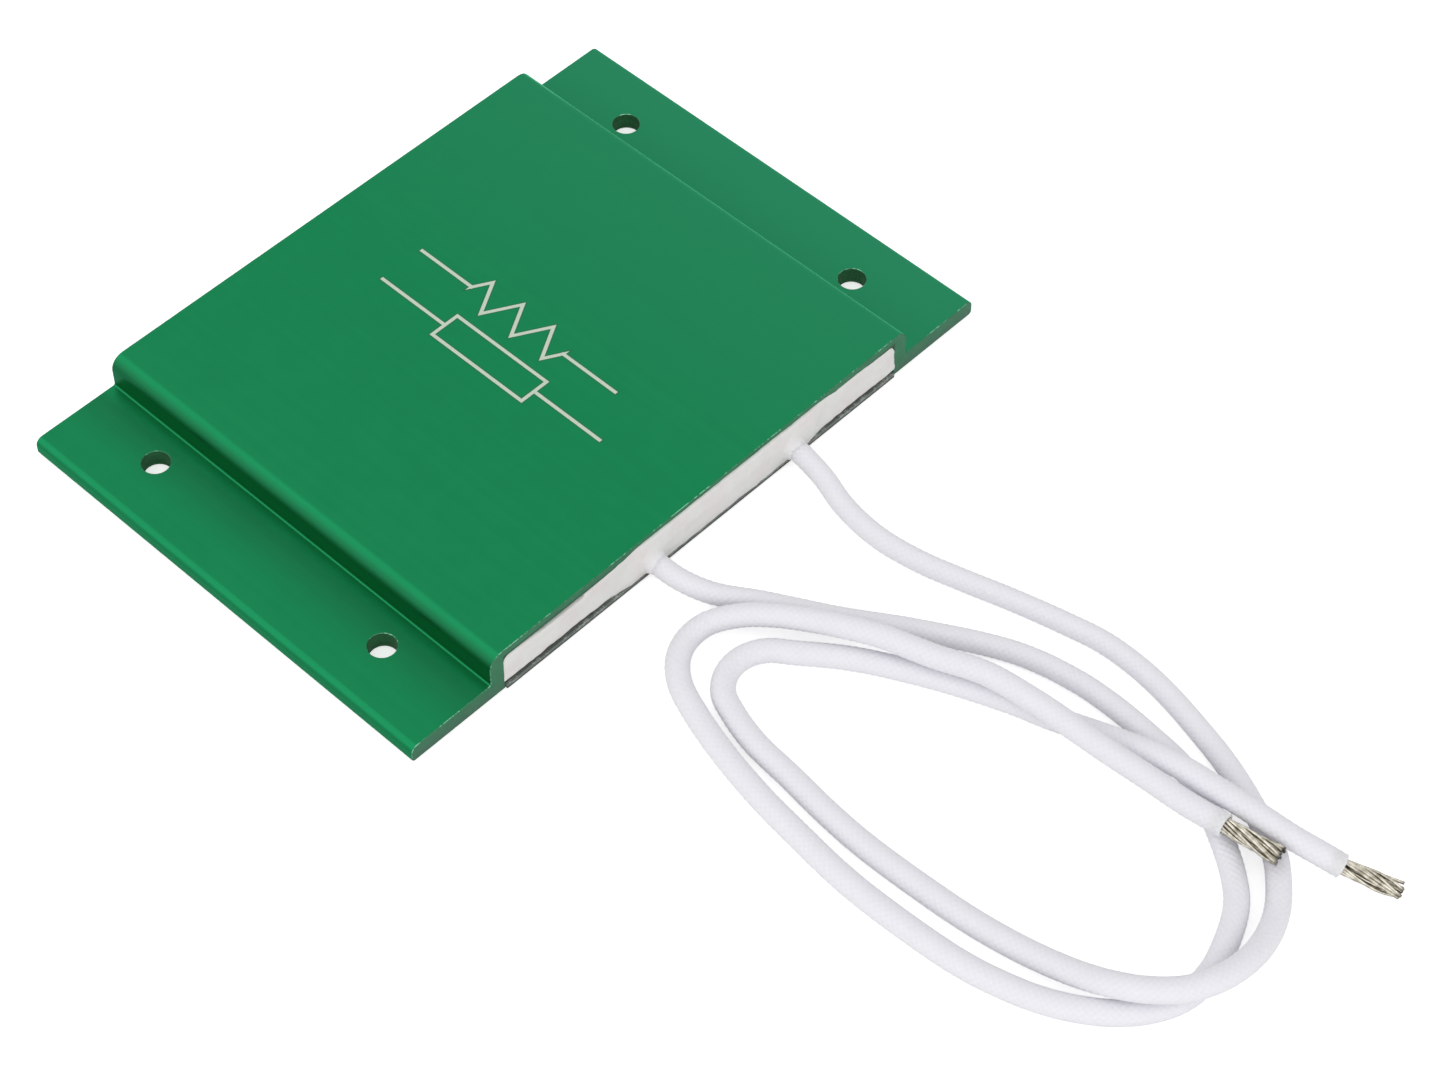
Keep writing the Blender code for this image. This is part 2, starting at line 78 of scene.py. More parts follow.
# Limits for welding, for picking faces and edges, and for shading them
WELD = 0.000001
CLOSE = 0.0001
FINE = 0.00001
SQUARE = 0.99
UPRIGHT = 0.1
FLAT_ANGLE = math.radians(2)
SHARP_ANGLE = math.radians(50)
CUT_ANGLE = math.radians(60)

# The leads, from the cement to the end of the insulation
LEAD_DIAMETER = 0.0025
LEAD_BORE = 0.00172
LEAD_RUN_IN = 0.0030
LEFT_EXIT_X = -0.0089
RIGHT_EXIT_X = 0.0128
LEFT_ROUTE = [
    (-0.0084, -0.0341, 0.0022), (-0.0070, -0.0373, 0.0015),
    (-0.0040, -0.0420, 0.0013), (-0.0001, -0.0490, 0.0013), (0.0044, -0.0561, 0.0013),
    (0.0093, -0.0655, 0.0013), (0.0108, -0.0721, 0.0013), (0.0110, -0.0770, 0.0013),
    (0.0106, -0.0823, 0.0013), (0.0100, -0.0866, 0.0013), (0.0084, -0.0910, 0.0013),
    (0.0057, -0.0955, 0.0013), (0.0032, -0.0989, 0.0013), (0.0007, -0.1013, 0.0013),
    (-0.0031, -0.1032, 0.0013), (-0.0072, -0.1044, 0.0013), (-0.0108, -0.1044, 0.0013),
    (-0.0139, -0.1032, 0.0013), (-0.0169, -0.1008, 0.0013), (-0.0192, -0.0978, 0.0013),
    (-0.0210, -0.0943, 0.0013), (-0.0223, -0.0903, 0.0013), (-0.0232, -0.0859, 0.0013),
    (-0.0238, -0.0762, 0.0013), (-0.0237, -0.0707, 0.0013), (-0.0231, -0.0648, 0.0013),
    (-0.0223, -0.0586, 0.0013), (-0.0211, -0.0527, 0.0013), (-0.0194, -0.0469, 0.0013),
    (-0.0177, -0.0430, 0.0013), (-0.0156, -0.0407, 0.0013), (-0.0131, -0.0396, 0.0013),
    (-0.0104, -0.0398, 0.0016), (-0.0076, -0.0418, 0.0022), (-0.0053, -0.0447, 0.0027),
    (-0.0034, -0.0480, 0.0031), (-0.0019, -0.0515, 0.0037), (-0.0005, -0.0551, 0.0041),
    (0.0013, -0.0609, 0.0042), (0.0033, -0.0661, 0.0042), (0.0041, -0.0722, 0.0042),
    (0.0044, -0.0810, 0.0042), (0.0048, -0.0868, 0.0041), (0.0050, -0.0912, 0.0041),
    (0.0056, -0.0956, 0.0041),
]
RIGHT_ROUTE = [
    (0.0124, -0.0352, 0.0021), (0.0114, -0.0393, 0.0014),
    (0.0108, -0.0447, 0.0013), (0.0114, -0.0501, 0.0013), (0.0127, -0.0551, 0.0013),
    (0.0143, -0.0606, 0.0013), (0.0157, -0.0663, 0.0013), (0.0166, -0.0710, 0.0013),
    (0.0166, -0.0757, 0.0013), (0.0160, -0.0800, 0.0013), (0.0148, -0.0849, 0.0013),
    (0.0135, -0.0893, 0.0013), (0.0119, -0.0933, 0.0013), (0.0100, -0.0971, 0.0013),
    (0.0081, -0.1002, 0.0013), (0.0056, -0.1027, 0.0013), (0.0026, -0.1048, 0.0014),
    (-0.0012, -0.1062, 0.0022), (-0.0052, -0.1067, 0.0033), (-0.0090, -0.1062, 0.0041),
    (-0.0118, -0.1048, 0.0042), (-0.0142, -0.1025, 0.0042), (-0.0158, -0.0996, 0.0037),
    (-0.0167, -0.0956, 0.0023), (-0.0176, -0.0907, 0.0014), (-0.0185, -0.0857, 0.0013),
    (-0.0190, -0.0810, 0.0013), (-0.0194, -0.0708, 0.0013), (-0.0191, -0.0651, 0.0013),
    (-0.0184, -0.0591, 0.0013), (-0.0178, -0.0536, 0.0013), (-0.0166, -0.0494, 0.0013),
    (-0.0155, -0.0471, 0.0013), (-0.0134, -0.0456, 0.0013), (-0.0108, -0.0454, 0.0013),
    (-0.0085, -0.0465, 0.0013),
    (-0.0066, -0.0489, 0.0013), (-0.0030, -0.0538, 0.0013), (0.0011, -0.0616, 0.0013),
    (0.0042, -0.0693, 0.0013), (0.0054, -0.0733, 0.0013), (0.0066, -0.0769, 0.0015),
    (0.0073, -0.0807, 0.0024), (0.0077, -0.0846, 0.0036), (0.0080, -0.0880, 0.0042),
    (0.0083, -0.0918, 0.0043), (0.0086, -0.0963, 0.0044), (0.0092, -0.1011, 0.0039),
    (0.0101, -0.1041, 0.0031), (0.0109, -0.1063, 0.0023),
]
LEFT_TIP = (0.0066, -0.1022, 0.0039)
RIGHT_TIP = (0.0132, -0.1122, 0.0013)

# The braid over each lead, as ripples of its surface
SLEEVE_STEP = 0.00015
BRAID_SIDES = 40
BRAID_RIBS = 10
BRAID_PITCH = 0.00075
BRAID_RIPPLE = 0.00004
ROUTE_FINENESS = 24
BRAID_SLACK = 0.00020
SLACK_MIDDLE = 0.1150
SLACK_REACH = 0.0450
CUT_SLACK = 0.60
BORE_DEPTH = 0.0012
BORE_RIM = 0.00006

# The stripped ends: the strands' rings as (count, radius), and how each strand strays from its ring
STRAND_DIAMETER = 0.00033
STRAND_RINGS = ((1, 0.0), (6, 0.00036), (12, 0.00072))
STRAND_LAY = 0.0160
STRIPPED_LENGTH = 0.0064
STRAND_STEPS = 24
STRAND_TURN = 0.15
STRAND_CLUMP = 0.55
STRAND_PARTING = (0.02, 0.46)
STRAND_LENGTHS = (0.945, 0.995)
STRAND_NECK = 0.92
STRAND_BELLY = 0.10
STRAND_ROOT = 0.0010
STRAND_TIP = 0.97
CUT_SHADE = 0.0005

# The cement's plug, its foot beside the walls, and its bead over the sawn end
PLUG_EASE = 0.00002
FRONT_PROUD = 0.00008
REAR_PROUD = 0.00010
LAP_INSIDE = 0.0004
FOOT_SPREAD = 0.00025
SUNK_LEFT = -0.0230
SUNK_RIGHT = -0.0185
SUNK_DEPTH = 0.00055
BEAD_LEFT = -0.0154
BEAD_RIGHT = 0.0200
BEAD_TAPER = 0.0036
BEAD_FOOT_X = -0.0096
BORDER_Z = 0.0009
BEAD_SHY = 0.00030
BEAD_CUTS = (0.0022, 0.0040)
BEAD_BACK = 0.00042
BEAD_LOW = 0.00048
BEAD_BELOW_TOP = 0.00050
LEFT_SLANT = 0.0026
RIGHT_SLANT = 0.0006
BEAD_FACE = 0.96

# The smears on the window's rim, as (left, right, lower and upper height at each of these, how proud)
LEFT_SMEAR = (-0.0182, -0.0110, (0.0011, 0.0049), (0.0007, 0.0054), 0.00010)
RIGHT_SMEAR = (0.0140, 0.0293, (0.0010, 0.0056), (0.0011, 0.0051), 0.00012)

# The cement's collars round the leads, the channels for the leads, and its lumps as (size, height)
COLLAR_FOOT = 0.0017
COLLAR_NECK = 0.0010
COLLAR_LENGTH = 0.0018
COLLAR_FORWARD = 0.0003
CHANNEL_REACH = 0.0045
CHANNEL_INSIDE = 0.001
FRONT_VOXEL = 0.00018
FRONT_LUMPS = ((0.0035, 0.00016), (0.0009, 0.00012))
REAR_VOXEL = 0.00026
REAR_LUMPS = ((0.0040, 0.00018), (0.0009, 0.00008))

# The marking's place on the top, filled with two plain schematic signs for a resistor
MARK_START_Y = 0.0172
ZIGZAG_ROW_X = 0.0030
OUTLINE_ROW_X = -0.0030
MARK_STROKE = 0.00042
TOP_SKIN = 0.0002

# Ramps of a colour's share, each as (from, to, share at the first, share at the second)
# Painted shade in the corner between box and flange, taken down to a fifth on the right:
FILLET_SHADE = (0.00025, 0.00040, 0.25, 0.0)
NEAR_SHADE = (0.0010, 0.0020, 0.0, 0.40)
FAR_SHADE = (0.0026, 0.0072, 0.40, 0.0)
LEFT_TO_RIGHT = (-0.001, 0.001, 1.0, 0.2)
SAWN_FOOT = (0.0004, 0.0020, 0.85, 0.0)
# Painted shadow along the plate's foot at its sawn ends:
PLATE_FOOT_SHADOW = (0.00020, 0.00032, 1.0, 0.0)

# The same, measured from the housing's top, the window's top and the cement's front
# Painted shade on the box's upright sides below the rounding of its top:
UPRIGHT_SHADE = (-0.0005, -0.0001, 0.58, 0.0)
# A painted highlight on the box's right upper edge:
EDGE_HIGHLIGHT_RAMP = (-0.0005, -0.0002, 1.0, 0.0)
# A painted shade line on the sawn wall just above the window:
WINDOW_LIP_SHADE = (0.00020, 0.00045, 0.75, 0.0)
LEAD_ROOT = (0.0003, -0.0006, 0.0, 0.8)

# Colours, linear
GREEN = (0.0088, 0.219, 0.078, 1.0)
GREEN_DEEP = (0.0082, 0.2065, 0.0745, 1.0)
# A painted sheen, paler and cooler green towards the right border:
SHEEN_GREEN = (0.0195, 0.224, 0.103, 1.0)
# A painted highlight on the box's right upper edge:
HIGHLIGHT_GREEN = (0.12, 0.64, 0.37, 1.0)
GLANCING_TINT = (0.5, 1.0, 0.75, 1.0)
# Painted shade in the box's corners and on its upright sides:
CORNER_SHADE_GREEN = (0.01, 0.1, 0.037, 1.0)
SAWN_GREEN = (0.038, 0.23, 0.11, 1.0)
SAWN_PALE = (0.075, 0.178, 0.12, 1.0)
# Painted shade line above the window:
LIP_SHADE_GREEN = (0.016, 0.048, 0.029, 1.0)
RIM_GREEN = (0.04, 0.17, 0.09, 1.0)
BORE_GREEN = (0.028, 0.15, 0.057, 1.0)
BARE_EDGE = (0.25, 0.56, 0.39, 1.0)
MARK_GREY = (0.62, 0.69, 0.59, 1.0)
# Painted shade as a dark outline round the engraved strokes:
MARK_OUTLINE_SHADE = (0.03, 0.07, 0.035, 1.0)
PLATE_GREY = (0.34, 0.35, 0.34, 1.0)
PLATE_SAWN = (0.15, 0.175, 0.155, 1.0)
PLATE_FLECK = (0.36, 0.4, 0.37, 1.0)
# Painted shadow at the plate's foot:
PLATE_SHADE = (0.03, 0.038, 0.033, 1.0)
CEMENT = (0.765, 0.765, 0.745, 1.0)
CEMENT_WARM = (0.755, 0.72, 0.71, 1.0)
SLEEVE = (0.82, 0.815, 0.855, 1.0)
# Painted shade in the braid's hollows:
SLEEVE_SHADE = (0.78, 0.775, 0.82, 1.0)
STRAND = (0.7, 0.665, 0.575, 1.0)
STRAND_DULL = (0.34, 0.315, 0.25, 1.0)
STRAND_CUT = (0.11, 0.1, 0.08, 1.0)
MICA = (0.52, 0.44, 0.3, 1.0)
FORMER_TAN = (0.6, 0.52, 0.38, 1.0)
WIRE_GREY = (0.42, 0.4, 0.37, 1.0)
TIN = (0.62, 0.61, 0.58, 1.0)
FLOOR_GREY = (0.86, 0.86, 0.86, 1.0)
WHITE = (1.0, 1.0, 1.0, 1.0)

# The studio: the floor's width and drop, the light it adds to the camera's eye, and the sky's on surfaces
FLOOR_WIDTH = 6.0
FLOOR_DROP = 0.0001
FLOOR_GLOW = 0.56
EVEN_LIGHT = 0.64


# Working in the scene

def only(piece):
    """Leaves one object selected and active."""
    bpy.ops.object.select_all(action="DESELECT")
    piece.select_set(True)
    bpy.context.view_layer.objects.active = piece
    return piece


def add_piece(name, data, *looks):
    """A new object in the scene, with its materials if it has any."""
    piece = bpy.data.objects.new(name, data)
    bpy.context.scene.collection.objects.link(piece)
    for look in looks:
        data.materials.append(look)
    return piece


def apply_modifiers(piece):
    only(piece)
    for modifier in list(piece.modifiers):
        bpy.ops.object.modifier_apply(modifier=modifier.name)


def settle(piece):
    """Puts an object's place into its mesh."""
    only(piece)
    bpy.ops.object.transform_apply(location=True, rotation=True, scale=True)


def block(name, low, high):
    """A cube primitive stretched between two corners."""
    low, high = Vector(low), Vector(high)
    bpy.ops.mesh.primitive_cube_add(size=1, location=(low + high) / 2, scale=high - low)
    piece = bpy.context.active_object
    piece.name = name
    settle(piece)
    return piece


def gather(piece, *others):
    """Puts overlapping bodies into one mesh, whose skin a voxel remesh then joins."""
    only(piece)
    for other in others:
        other.select_set(True)
    bpy.ops.object.join()


def cut_away(piece, tool):
    """Cuts one body out of another and removes it."""
    modifier = piece.modifiers.new("cut", "BOOLEAN")
    modifier.operation = "DIFFERENCE"
    modifier.solver = "EXACT"
    modifier.object = tool
    apply_modifiers(piece)
    bpy.data.objects.remove(tool, do_unlink=True)


def select_where(piece, kind, chosen):
    """In edit mode, selects the edges or faces that a test picks."""
    only(piece)
    bpy.ops.object.mode_set(mode="EDIT")
    bpy.ops.mesh.select_mode(type="EDGE" if kind == "edges" else "FACE")
    bpy.ops.mesh.select_all(action="DESELECT")
    shape = bmesh.from_edit_mesh(piece.data)
    for item in getattr(shape, kind):
        item.select_set(chosen(item))
    shape.select_flush_mode()
    bmesh.update_edit_mesh(piece.data)


def edit_all(piece):
    """Goes into edit mode with everything selected."""
    only(piece)
    bpy.ops.object.mode_set(mode="EDIT")
    bpy.ops.mesh.select_all(action="SELECT")


def leave_edit():
    bpy.ops.object.mode_set(mode="OBJECT")


def finish_piece(piece, body_slot, *nodes):
    """Lets a finished piece ride on the part and stand for its CAD nodes."""
    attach(piece, "root")
    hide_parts(*nodes)


# Building materials

def connect(tree, value, socket):
    """Feeds a socket from another one, or sets its own value."""
    if isinstance(value, bpy.types.NodeSocket):
        tree.links.new(value, socket)
    else:
        socket.default_value = value


def shader_node(tree, kind, inputs=(), **settings):
    """A new node with its inputs fed and its settings made."""
    made = tree.nodes.new("ShaderNode" + kind)
    for key, value in settings.items():
        setattr(made, key, value)
    for key, value in dict(inputs).items():
        connect(tree, value, made.inputs[key])
    return made


def maths(tree, operation, *values):
    """The result of one node of arithmetic."""
    made = shader_node(tree, "Math", operation=operation)
    for value, socket in zip(values, made.inputs):
        connect(tree, value, socket)
    return made.outputs[0]


def times(tree, one, two):
    """The product of two values."""
    return maths(tree, "MULTIPLY", one, two)


def blended(tree, share, low, high):
    """One colour turning into another over the surface."""
    made = shader_node(tree, "Mix", data_type="RGBA")
    connect(tree, share, made.inputs[0])
    connect(tree, low, made.inputs[6])
    connect(tree, high, made.inputs[7])
    return made.outputs[2]


def ranged(tree, value, low, high, to_low=0.0, to_high=1.0):
    """A value that lies between two limits, brought between two others."""
    made = shader_node(tree, "MapRange")
    for socket, given in zip(made.inputs, (value, low, high, to_low, to_high)):
        connect(tree, given, socket)
    return made.outputs[0]


def ramp_from(tree, value, level, ramp):
    """A ramp's share, where the ramp starts from a level of its own."""
    start, end, first, last = ramp
    return ranged(tree, value, level + start, level + end, first, last)


def object_place(tree):
    return shader_node(tree, "TexCoord").outputs["Object"]


def parted(tree, vector):
    """A vector's x, y and z."""
    return tuple(shader_node(tree, "SeparateXYZ", {"Vector": vector}).outputs)


def streaks(tree, scale):
    """Noise with its own scale along each axis, for the marks that a tool leaves."""
    scaled = shader_node(tree, "Mapping", {"Vector": object_place(tree), "Scale": scale}).outputs[0]
    return shader_node(tree, "TexNoise", {"Vector": scaled, "Scale": 1.0, "Detail": 1.0}).outputs[0]


def shaded(colour, share):
    """The same colour, made lighter or darker."""
    return tuple(share * value for value in colour[:3]) + (1.0,)


def new_group(name, inputs, outputs):
    """An empty node group with named float inputs and outputs."""
    group = bpy.data.node_groups.new(name, "ShaderNodeTree")
    for label, value in inputs.items():
        socket = group.interface.new_socket(label, in_out="INPUT", socket_type="NodeSocketFloat")
        socket.default_value = value
    for label in outputs:
        group.interface.new_socket(label, in_out="OUTPUT", socket_type="NodeSocketFloat")
    given = group.nodes.new("NodeGroupInput").outputs
    return group, given, group.nodes.new("NodeGroupOutput").inputs


def place_group(tree, group, **inputs):
    """A shared group's outputs in this tree, with its own inputs set."""
    made = tree.nodes.new("ShaderNodeGroup")
    made.node_tree = group
    for label, value in inputs.items():
        connect(tree, value, made.inputs[label.capitalize()])
    return made.outputs


def drawn_lines_group():
    """Fine lines along Y, as a die leaves them on an extrusion or a mill on sheet."""
    sizes = {"Spacing": 0.0002, "Length": 0.02}
    group, given, made = new_group("drawn_lines", sizes, ("Lines", "Broad"))
    x, y, z = parted(group, object_place(group))
    for label, coarser in (("Lines", 1.0), ("Broad", 9.0)):
        across = times(group, given["Spacing"], coarser)
        along = times(group, given["Length"], coarser)
        scaled = shader_node(group, "CombineXYZ", {
            "X": maths(group, "DIVIDE", x, across),
            "Y": maths(group, "DIVIDE", y, along),
            "Z": maths(group, "DIVIDE", z, across),
        }).outputs[0]
        noise = shader_node(group, "TexNoise", {"Vector": scaled, "Scale": 1.0, "Detail": 2.0})
        group.links.new(noise.outputs[0], made[label])
    return group


def grain_group():
    """A fine grain, the broader mottling of the same surface, and flecks where both are strong."""
    sizes = {"Size": 0.0002, "Spread": 12.0}
    group, given, made = new_group("grain", sizes, ("Grain", "Mottle", "Flecks"))
    place = object_place(group)
    fine = maths(group, "DIVIDE", 1.0, given["Size"])
    broad = maths(group, "DIVIDE", fine, given["Spread"])
    grain = shader_node(group, "TexNoise", {"Vector": place, "Scale": fine, "Detail": 3.0})
    mottle = shader_node(group, "TexNoise", {"Vector": place, "Scale": broad, "Detail": 4.0})
    group.links.new(grain.outputs[0], made["Grain"])
    group.links.new(mottle.outputs[0], made["Mottle"])
    both = times(group, grain.outputs[0], mottle.outputs[0])
    group.links.new(ranged(group, both, 0.25, 0.34), made["Flecks"])
    return group


DRAWN_LINES = drawn_lines_group()
GRAIN = grain_group()


def new_material(name, colour, roughness, metallic=0.0, **more):
    """A material with its Principled BSDF set, its tree and that shader."""
    made = bpy.data.materials.new(name)
    made.use_nodes = True
    made.diffuse_color = colour
    shader = made.node_tree.nodes["Principled BSDF"]
    more.update(base_color=colour, roughness=roughness, metallic=metallic)
    for label, value in more.items():
        shader.inputs[label.replace("_", " ").title()].default_value = value
    return made, made.node_tree, shader


def feed(tree, shader, **sources):
    """Links sockets to the shader's own, which are named in words joined by underscores."""
    for label, source in sources.items():
        tree.links.new(source, shader.inputs[label.replace("_", " ").title()])


def roughen(tree, shader, height, depth):
    """Raises the surface by a height map whose full range is a real depth."""
    bump = shader_node(tree, "Bump", {"Height": height, "Strength": 1.0, "Distance": depth})
    tree.links.new(bump.outputs[0], shader.inputs["Normal"])


def stretch(tree, across, along, start, end):
    """The distance from a straight stroke that runs between two places along the row."""
    middle = maths(tree, "ABSOLUTE", maths(tree, "SUBTRACT", along, (start + end) / 2))
    return maths(tree, "MAXIMUM", across, maths(tree, "SUBTRACT", middle, (end - start) / 2))


def signs_distance(tree):
    """How far a spot on the top is from two signs for a resistor, a zigzag and an outline box."""
    x, y, z = parted(tree, object_place(tree))
    along = maths(tree, "SUBTRACT", MARK_START_Y, y)

    lead, zigzag, tooth, swing = 0.0080, 0.0144, 0.0024, 0.0021
    side = maths(tree, "SUBTRACT", x, ZIGZAG_ROW_X)
    across = maths(tree, "ABSOLUTE", side)
    wave = maths(tree, "PINGPONG", maths(tree, "SUBTRACT", along, lead - tooth / 2), tooth)
    wave = times(tree, maths(tree, "SUBTRACT", wave, tooth / 2), 2 * swing / tooth)
    slope = math.cos(math.atan(2 * swing / tooth))
    off = times(tree, maths(tree, "ABSOLUTE", maths(tree, "SUBTRACT", side, wave)), slope)
    rows = [
        stretch(tree, off, along, lead, lead + zigzag),
        stretch(tree, across, along, 0.0, lead),
        stretch(tree, across, along, lead + zigzag, 2 * lead + zigzag),
    ]

    lead, length, half = 0.0100, 0.0140, 0.0019
    across = maths(tree, "ABSOLUTE", maths(tree, "SUBTRACT", x, OUTLINE_ROW_X))
    box = stretch(tree, maths(tree, "SUBTRACT", across, half), along, lead, lead + length)
    rows += [
        maths(tree, "ABSOLUTE", box),
        stretch(tree, across, along, 0.0, lead),
        stretch(tree, across, along, lead + length, 2 * lead + length),
    ]
    nearest = rows[0]
    for row in rows[1:]:
        nearest = maths(tree, "MINIMUM", nearest, row)
    below_top = maths(tree, "LESS_THAN", z, HOUSING_TOP - TOP_SKIN)
    return maths(tree, "ADD", nearest, below_top)


def painted_corner_shade(tree):
    """Painted shade where box and flange meet and on the box's upright side, most of all on the left."""
    x, _, z = parted(tree, object_place(tree))
    out = maths(tree, "SUBTRACT", maths(tree, "ABSOLUTE", x), BOX_WIDTH / 2)
    flat = maths(tree, "MINIMUM", ranged(tree, out, *NEAR_SHADE), ranged(tree, out, *FAR_SHADE))
    beside = maths(tree, "MAXIMUM", ranged(tree, out, *FILLET_SHADE), flat)
    upright = ramp_from(tree, z, HOUSING_TOP, UPRIGHT_SHADE)
    low = maths(tree, "LESS_THAN", z, FLANGE_TOP + TOP_SKIN)
    on_side = times(tree, upright, maths(tree, "SUBTRACT", 1.0, low))
    both = maths(tree, "ADD", times(tree, beside, low), on_side)
    outside = maths(tree, "GREATER_THAN", out, -FULL_ROUNDING - CLOSE)
    both = times(tree, both, outside)
    return times(tree, both, ranged(tree, x, *LEFT_TO_RIGHT))


def painted_sheen_and_highlight(tree, green):
    """A painted sheen, paler and cooler towards the right border, and a painted highlight on the box's
    right upper edge.
    """
    x, _, z = parted(tree, object_place(tree))
    green = blended(tree, ranged(tree, x, 0.0, FLANGE_EDGE), green, SHEEN_GREEN)
    edge = ramp_from(tree, z, HOUSING_TOP, EDGE_HIGHLIGHT_RAMP)
    edge = times(tree, edge, maths(tree, "GREATER_THAN", z, HOUSING_TOP - FULL_ROUNDING))
    edge = times(tree, edge, maths(tree, "GREATER_THAN", x, BOX_WIDTH / 2 - FULL_ROUNDING))
    return blended(tree, edge, green, HIGHLIGHT_GREEN)


def green_anodised():
    """Dyed, drawn aluminium with the two signs engraved pale on its top."""
    made, tree, shader = new_material(
        "green_anodised", GREEN, 0.36, 0.85, specular_tint=GLANCING_TINT)
    shader.inputs["Specular IOR Level"].default_value = 0.35
    lines = place_group(tree, DRAWN_LINES, spacing=0.00012, length=0.012)
    grain = place_group(tree, GRAIN, size=0.00006, spread=60.0)
    die = place_group(tree, GRAIN, size=0.0012, spread=5.0)
    distance = signs_distance(tree)
    sign = ranged(tree, distance, 0.42 * MARK_STROKE, 0.58 * MARK_STROKE, 1.0, 0.0)
    # A dark outline painted round each stroke as its shade.
    stroke_shade = ranged(tree, distance, 0.60 * MARK_STROKE, 0.95 * MARK_STROKE, 0.55, 0.0)
    shade = times(tree, maths(tree, "ADD", lines["Broad"], grain["Mottle"]), 0.5)
    green = blended(tree, ranged(tree, shade, 0.35, 0.65), GREEN_DEEP, GREEN)
    # Painted sheen towards the right border and a painted highlight on the right upper edge.
    green = painted_sheen_and_highlight(tree, green)
    green = blended(tree, stroke_shade, green, MARK_OUTLINE_SHADE)
    # Painted shade in the corner between box and flange and on the box's upright sides.
    green = blended(tree, painted_corner_shade(tree), green, CORNER_SHADE_GREEN)
    speckle = ranged(tree, grain["Grain"], 0.3, 0.7, 0.70, 1.15)
    engraved = blended(tree, times(tree, sign, speckle), green, MARK_GREY)
    satin = ranged(tree, lines["Lines"], 0.3, 0.7, 0.31, 0.41)
    feed(tree, shader, base_color=engraved,
         roughness=maths(tree, "ADD", satin, times(tree, sign, 0.3)),
         metallic=maths(tree, "MULTIPLY_ADD", sign, -0.6, 0.85))
    height = maths(tree, "ADD", times(tree, lines["Lines"], 0.25), grain["Grain"])
    height = maths(tree, "MULTIPLY_ADD", die["Grain"], 3.0, height)
    height = maths(tree, "SUBTRACT", height, times(tree, sign, 4.0))
    roughen(tree, shader, height, 0.0000035)
    return made


def sawn_aluminium():
    """The sawn ends: thinly coloured metal with upright saw marks, paler towards the foot, and a painted
    shade line just above the window.
    """
    made, tree, shader = new_material("sawn_end", SAWN_GREEN, 0.5, 0.55)
    grain = place_group(tree, GRAIN, size=0.00009, spread=20.0)
    marks = streaks(tree, (7000.0, 1.0, 700.0))
    shade = times(tree, maths(tree, "ADD", marks, grain["Mottle"]), 0.5)
    sawn = blended(tree, ranged(tree, shade, 0.3, 0.7), shaded(SAWN_GREEN, 0.72), SAWN_GREEN)
    x, _, z = parted(tree, object_place(tree))
    sawn = blended(tree, ranged(tree, z, *SAWN_FOOT), sawn, SAWN_PALE)
    # A painted shade line along the wall just above the window.
    lip = ramp_from(tree, z, HOUSING_TOP - TOP_WALL, WINDOW_LIP_SHADE)
    over_window = maths(tree, "LESS_THAN", maths(tree, "ABSOLUTE", x), WINDOW_HALF)
    lip = times(tree, lip, over_window)
    feed(tree, shader, base_color=blended(tree, lip, sawn, LIP_SHADE_GREEN),
         roughness=ranged(tree, marks, 0.3, 0.7, 0.4, 0.6))
    roughen(tree, shader, marks, 0.00001)
    return made


def burred_edge():
    """The rims that saw and drill leave: green, with bright flecks where the coating is thin."""
    made, tree, shader = new_material("burred_edge", RIM_GREEN, 0.35, 0.8)
    grain = place_group(tree, GRAIN, size=0.00030, spread=9.0)
    feed(tree, shader, base_color=blended(tree, grain["Flecks"], RIM_GREEN, BARE_EDGE),
         roughness=ranged(tree, grain["Grain"], 0.3, 0.7, 0.28, 0.45))
    roughen(tree, shader, grain["Grain"], 0.00002)
    return made


def drilled_bore():
    """The holes' walls, with the drill's rings."""
    made, tree, shader = new_material("drilled_bore", BORE_GREEN, 0.5, 0.6)
    rings = streaks(tree, (300.0, 300.0, 9000.0))
    bored = blended(tree, ranged(tree, rings, 0.4, 0.7), BORE_GREEN, shaded(BORE_GREEN, 1.6))
    feed(tree, shader, base_color=bored, roughness=ranged(tree, rings, 0.3, 0.7, 0.4, 0.6))
    roughen(tree, shader, rings, 0.00001)
    return made


def plate_metal():
    """Milled sheet, duller and flecked at its sawn ends, with painted shadow at their foot."""
    made, tree, shader = new_material("base_metal", PLATE_GREY, 0.42, 0.9)
    lines = place_group(tree, DRAWN_LINES, spacing=0.00009, length=0.006)
    grain = place_group(tree, GRAIN, size=0.0001, spread=40.0)
    shade = times(tree, maths(tree, "ADD", lines["Lines"], grain["Mottle"]), 0.5)
    milled = blended(tree, ranged(tree, shade, 0.3, 0.7), shaded(PLATE_GREY, 0.7), PLATE_GREY)
    flecks = place_group(tree, GRAIN, size=0.00025, spread=5.0)
    sawn = blended(tree, flecks["Flecks"], PLATE_SAWN, PLATE_FLECK)
    _, y, z = parted(tree, object_place(tree))
    # Painted shadow at the foot of the sawn ends.
    sawn = blended(tree, ranged(tree, z, *PLATE_FOOT_SHADOW), sawn, PLATE_SHADE)
    ends = maths(tree, "GREATER_THAN", maths(tree, "ABSOLUTE", y), END_Y - CLOSE / 2)
    feed(tree, shader, base_color=blended(tree, ends, milled, sawn),
         roughness=ranged(tree, lines["Lines"], 0.3, 0.7, 0.35, 0.5),
         metallic=maths(tree, "MULTIPLY_ADD", ends, -0.5, 0.9))
    roughen(tree, shader, lines["Lines"], 0.000004)
    return made


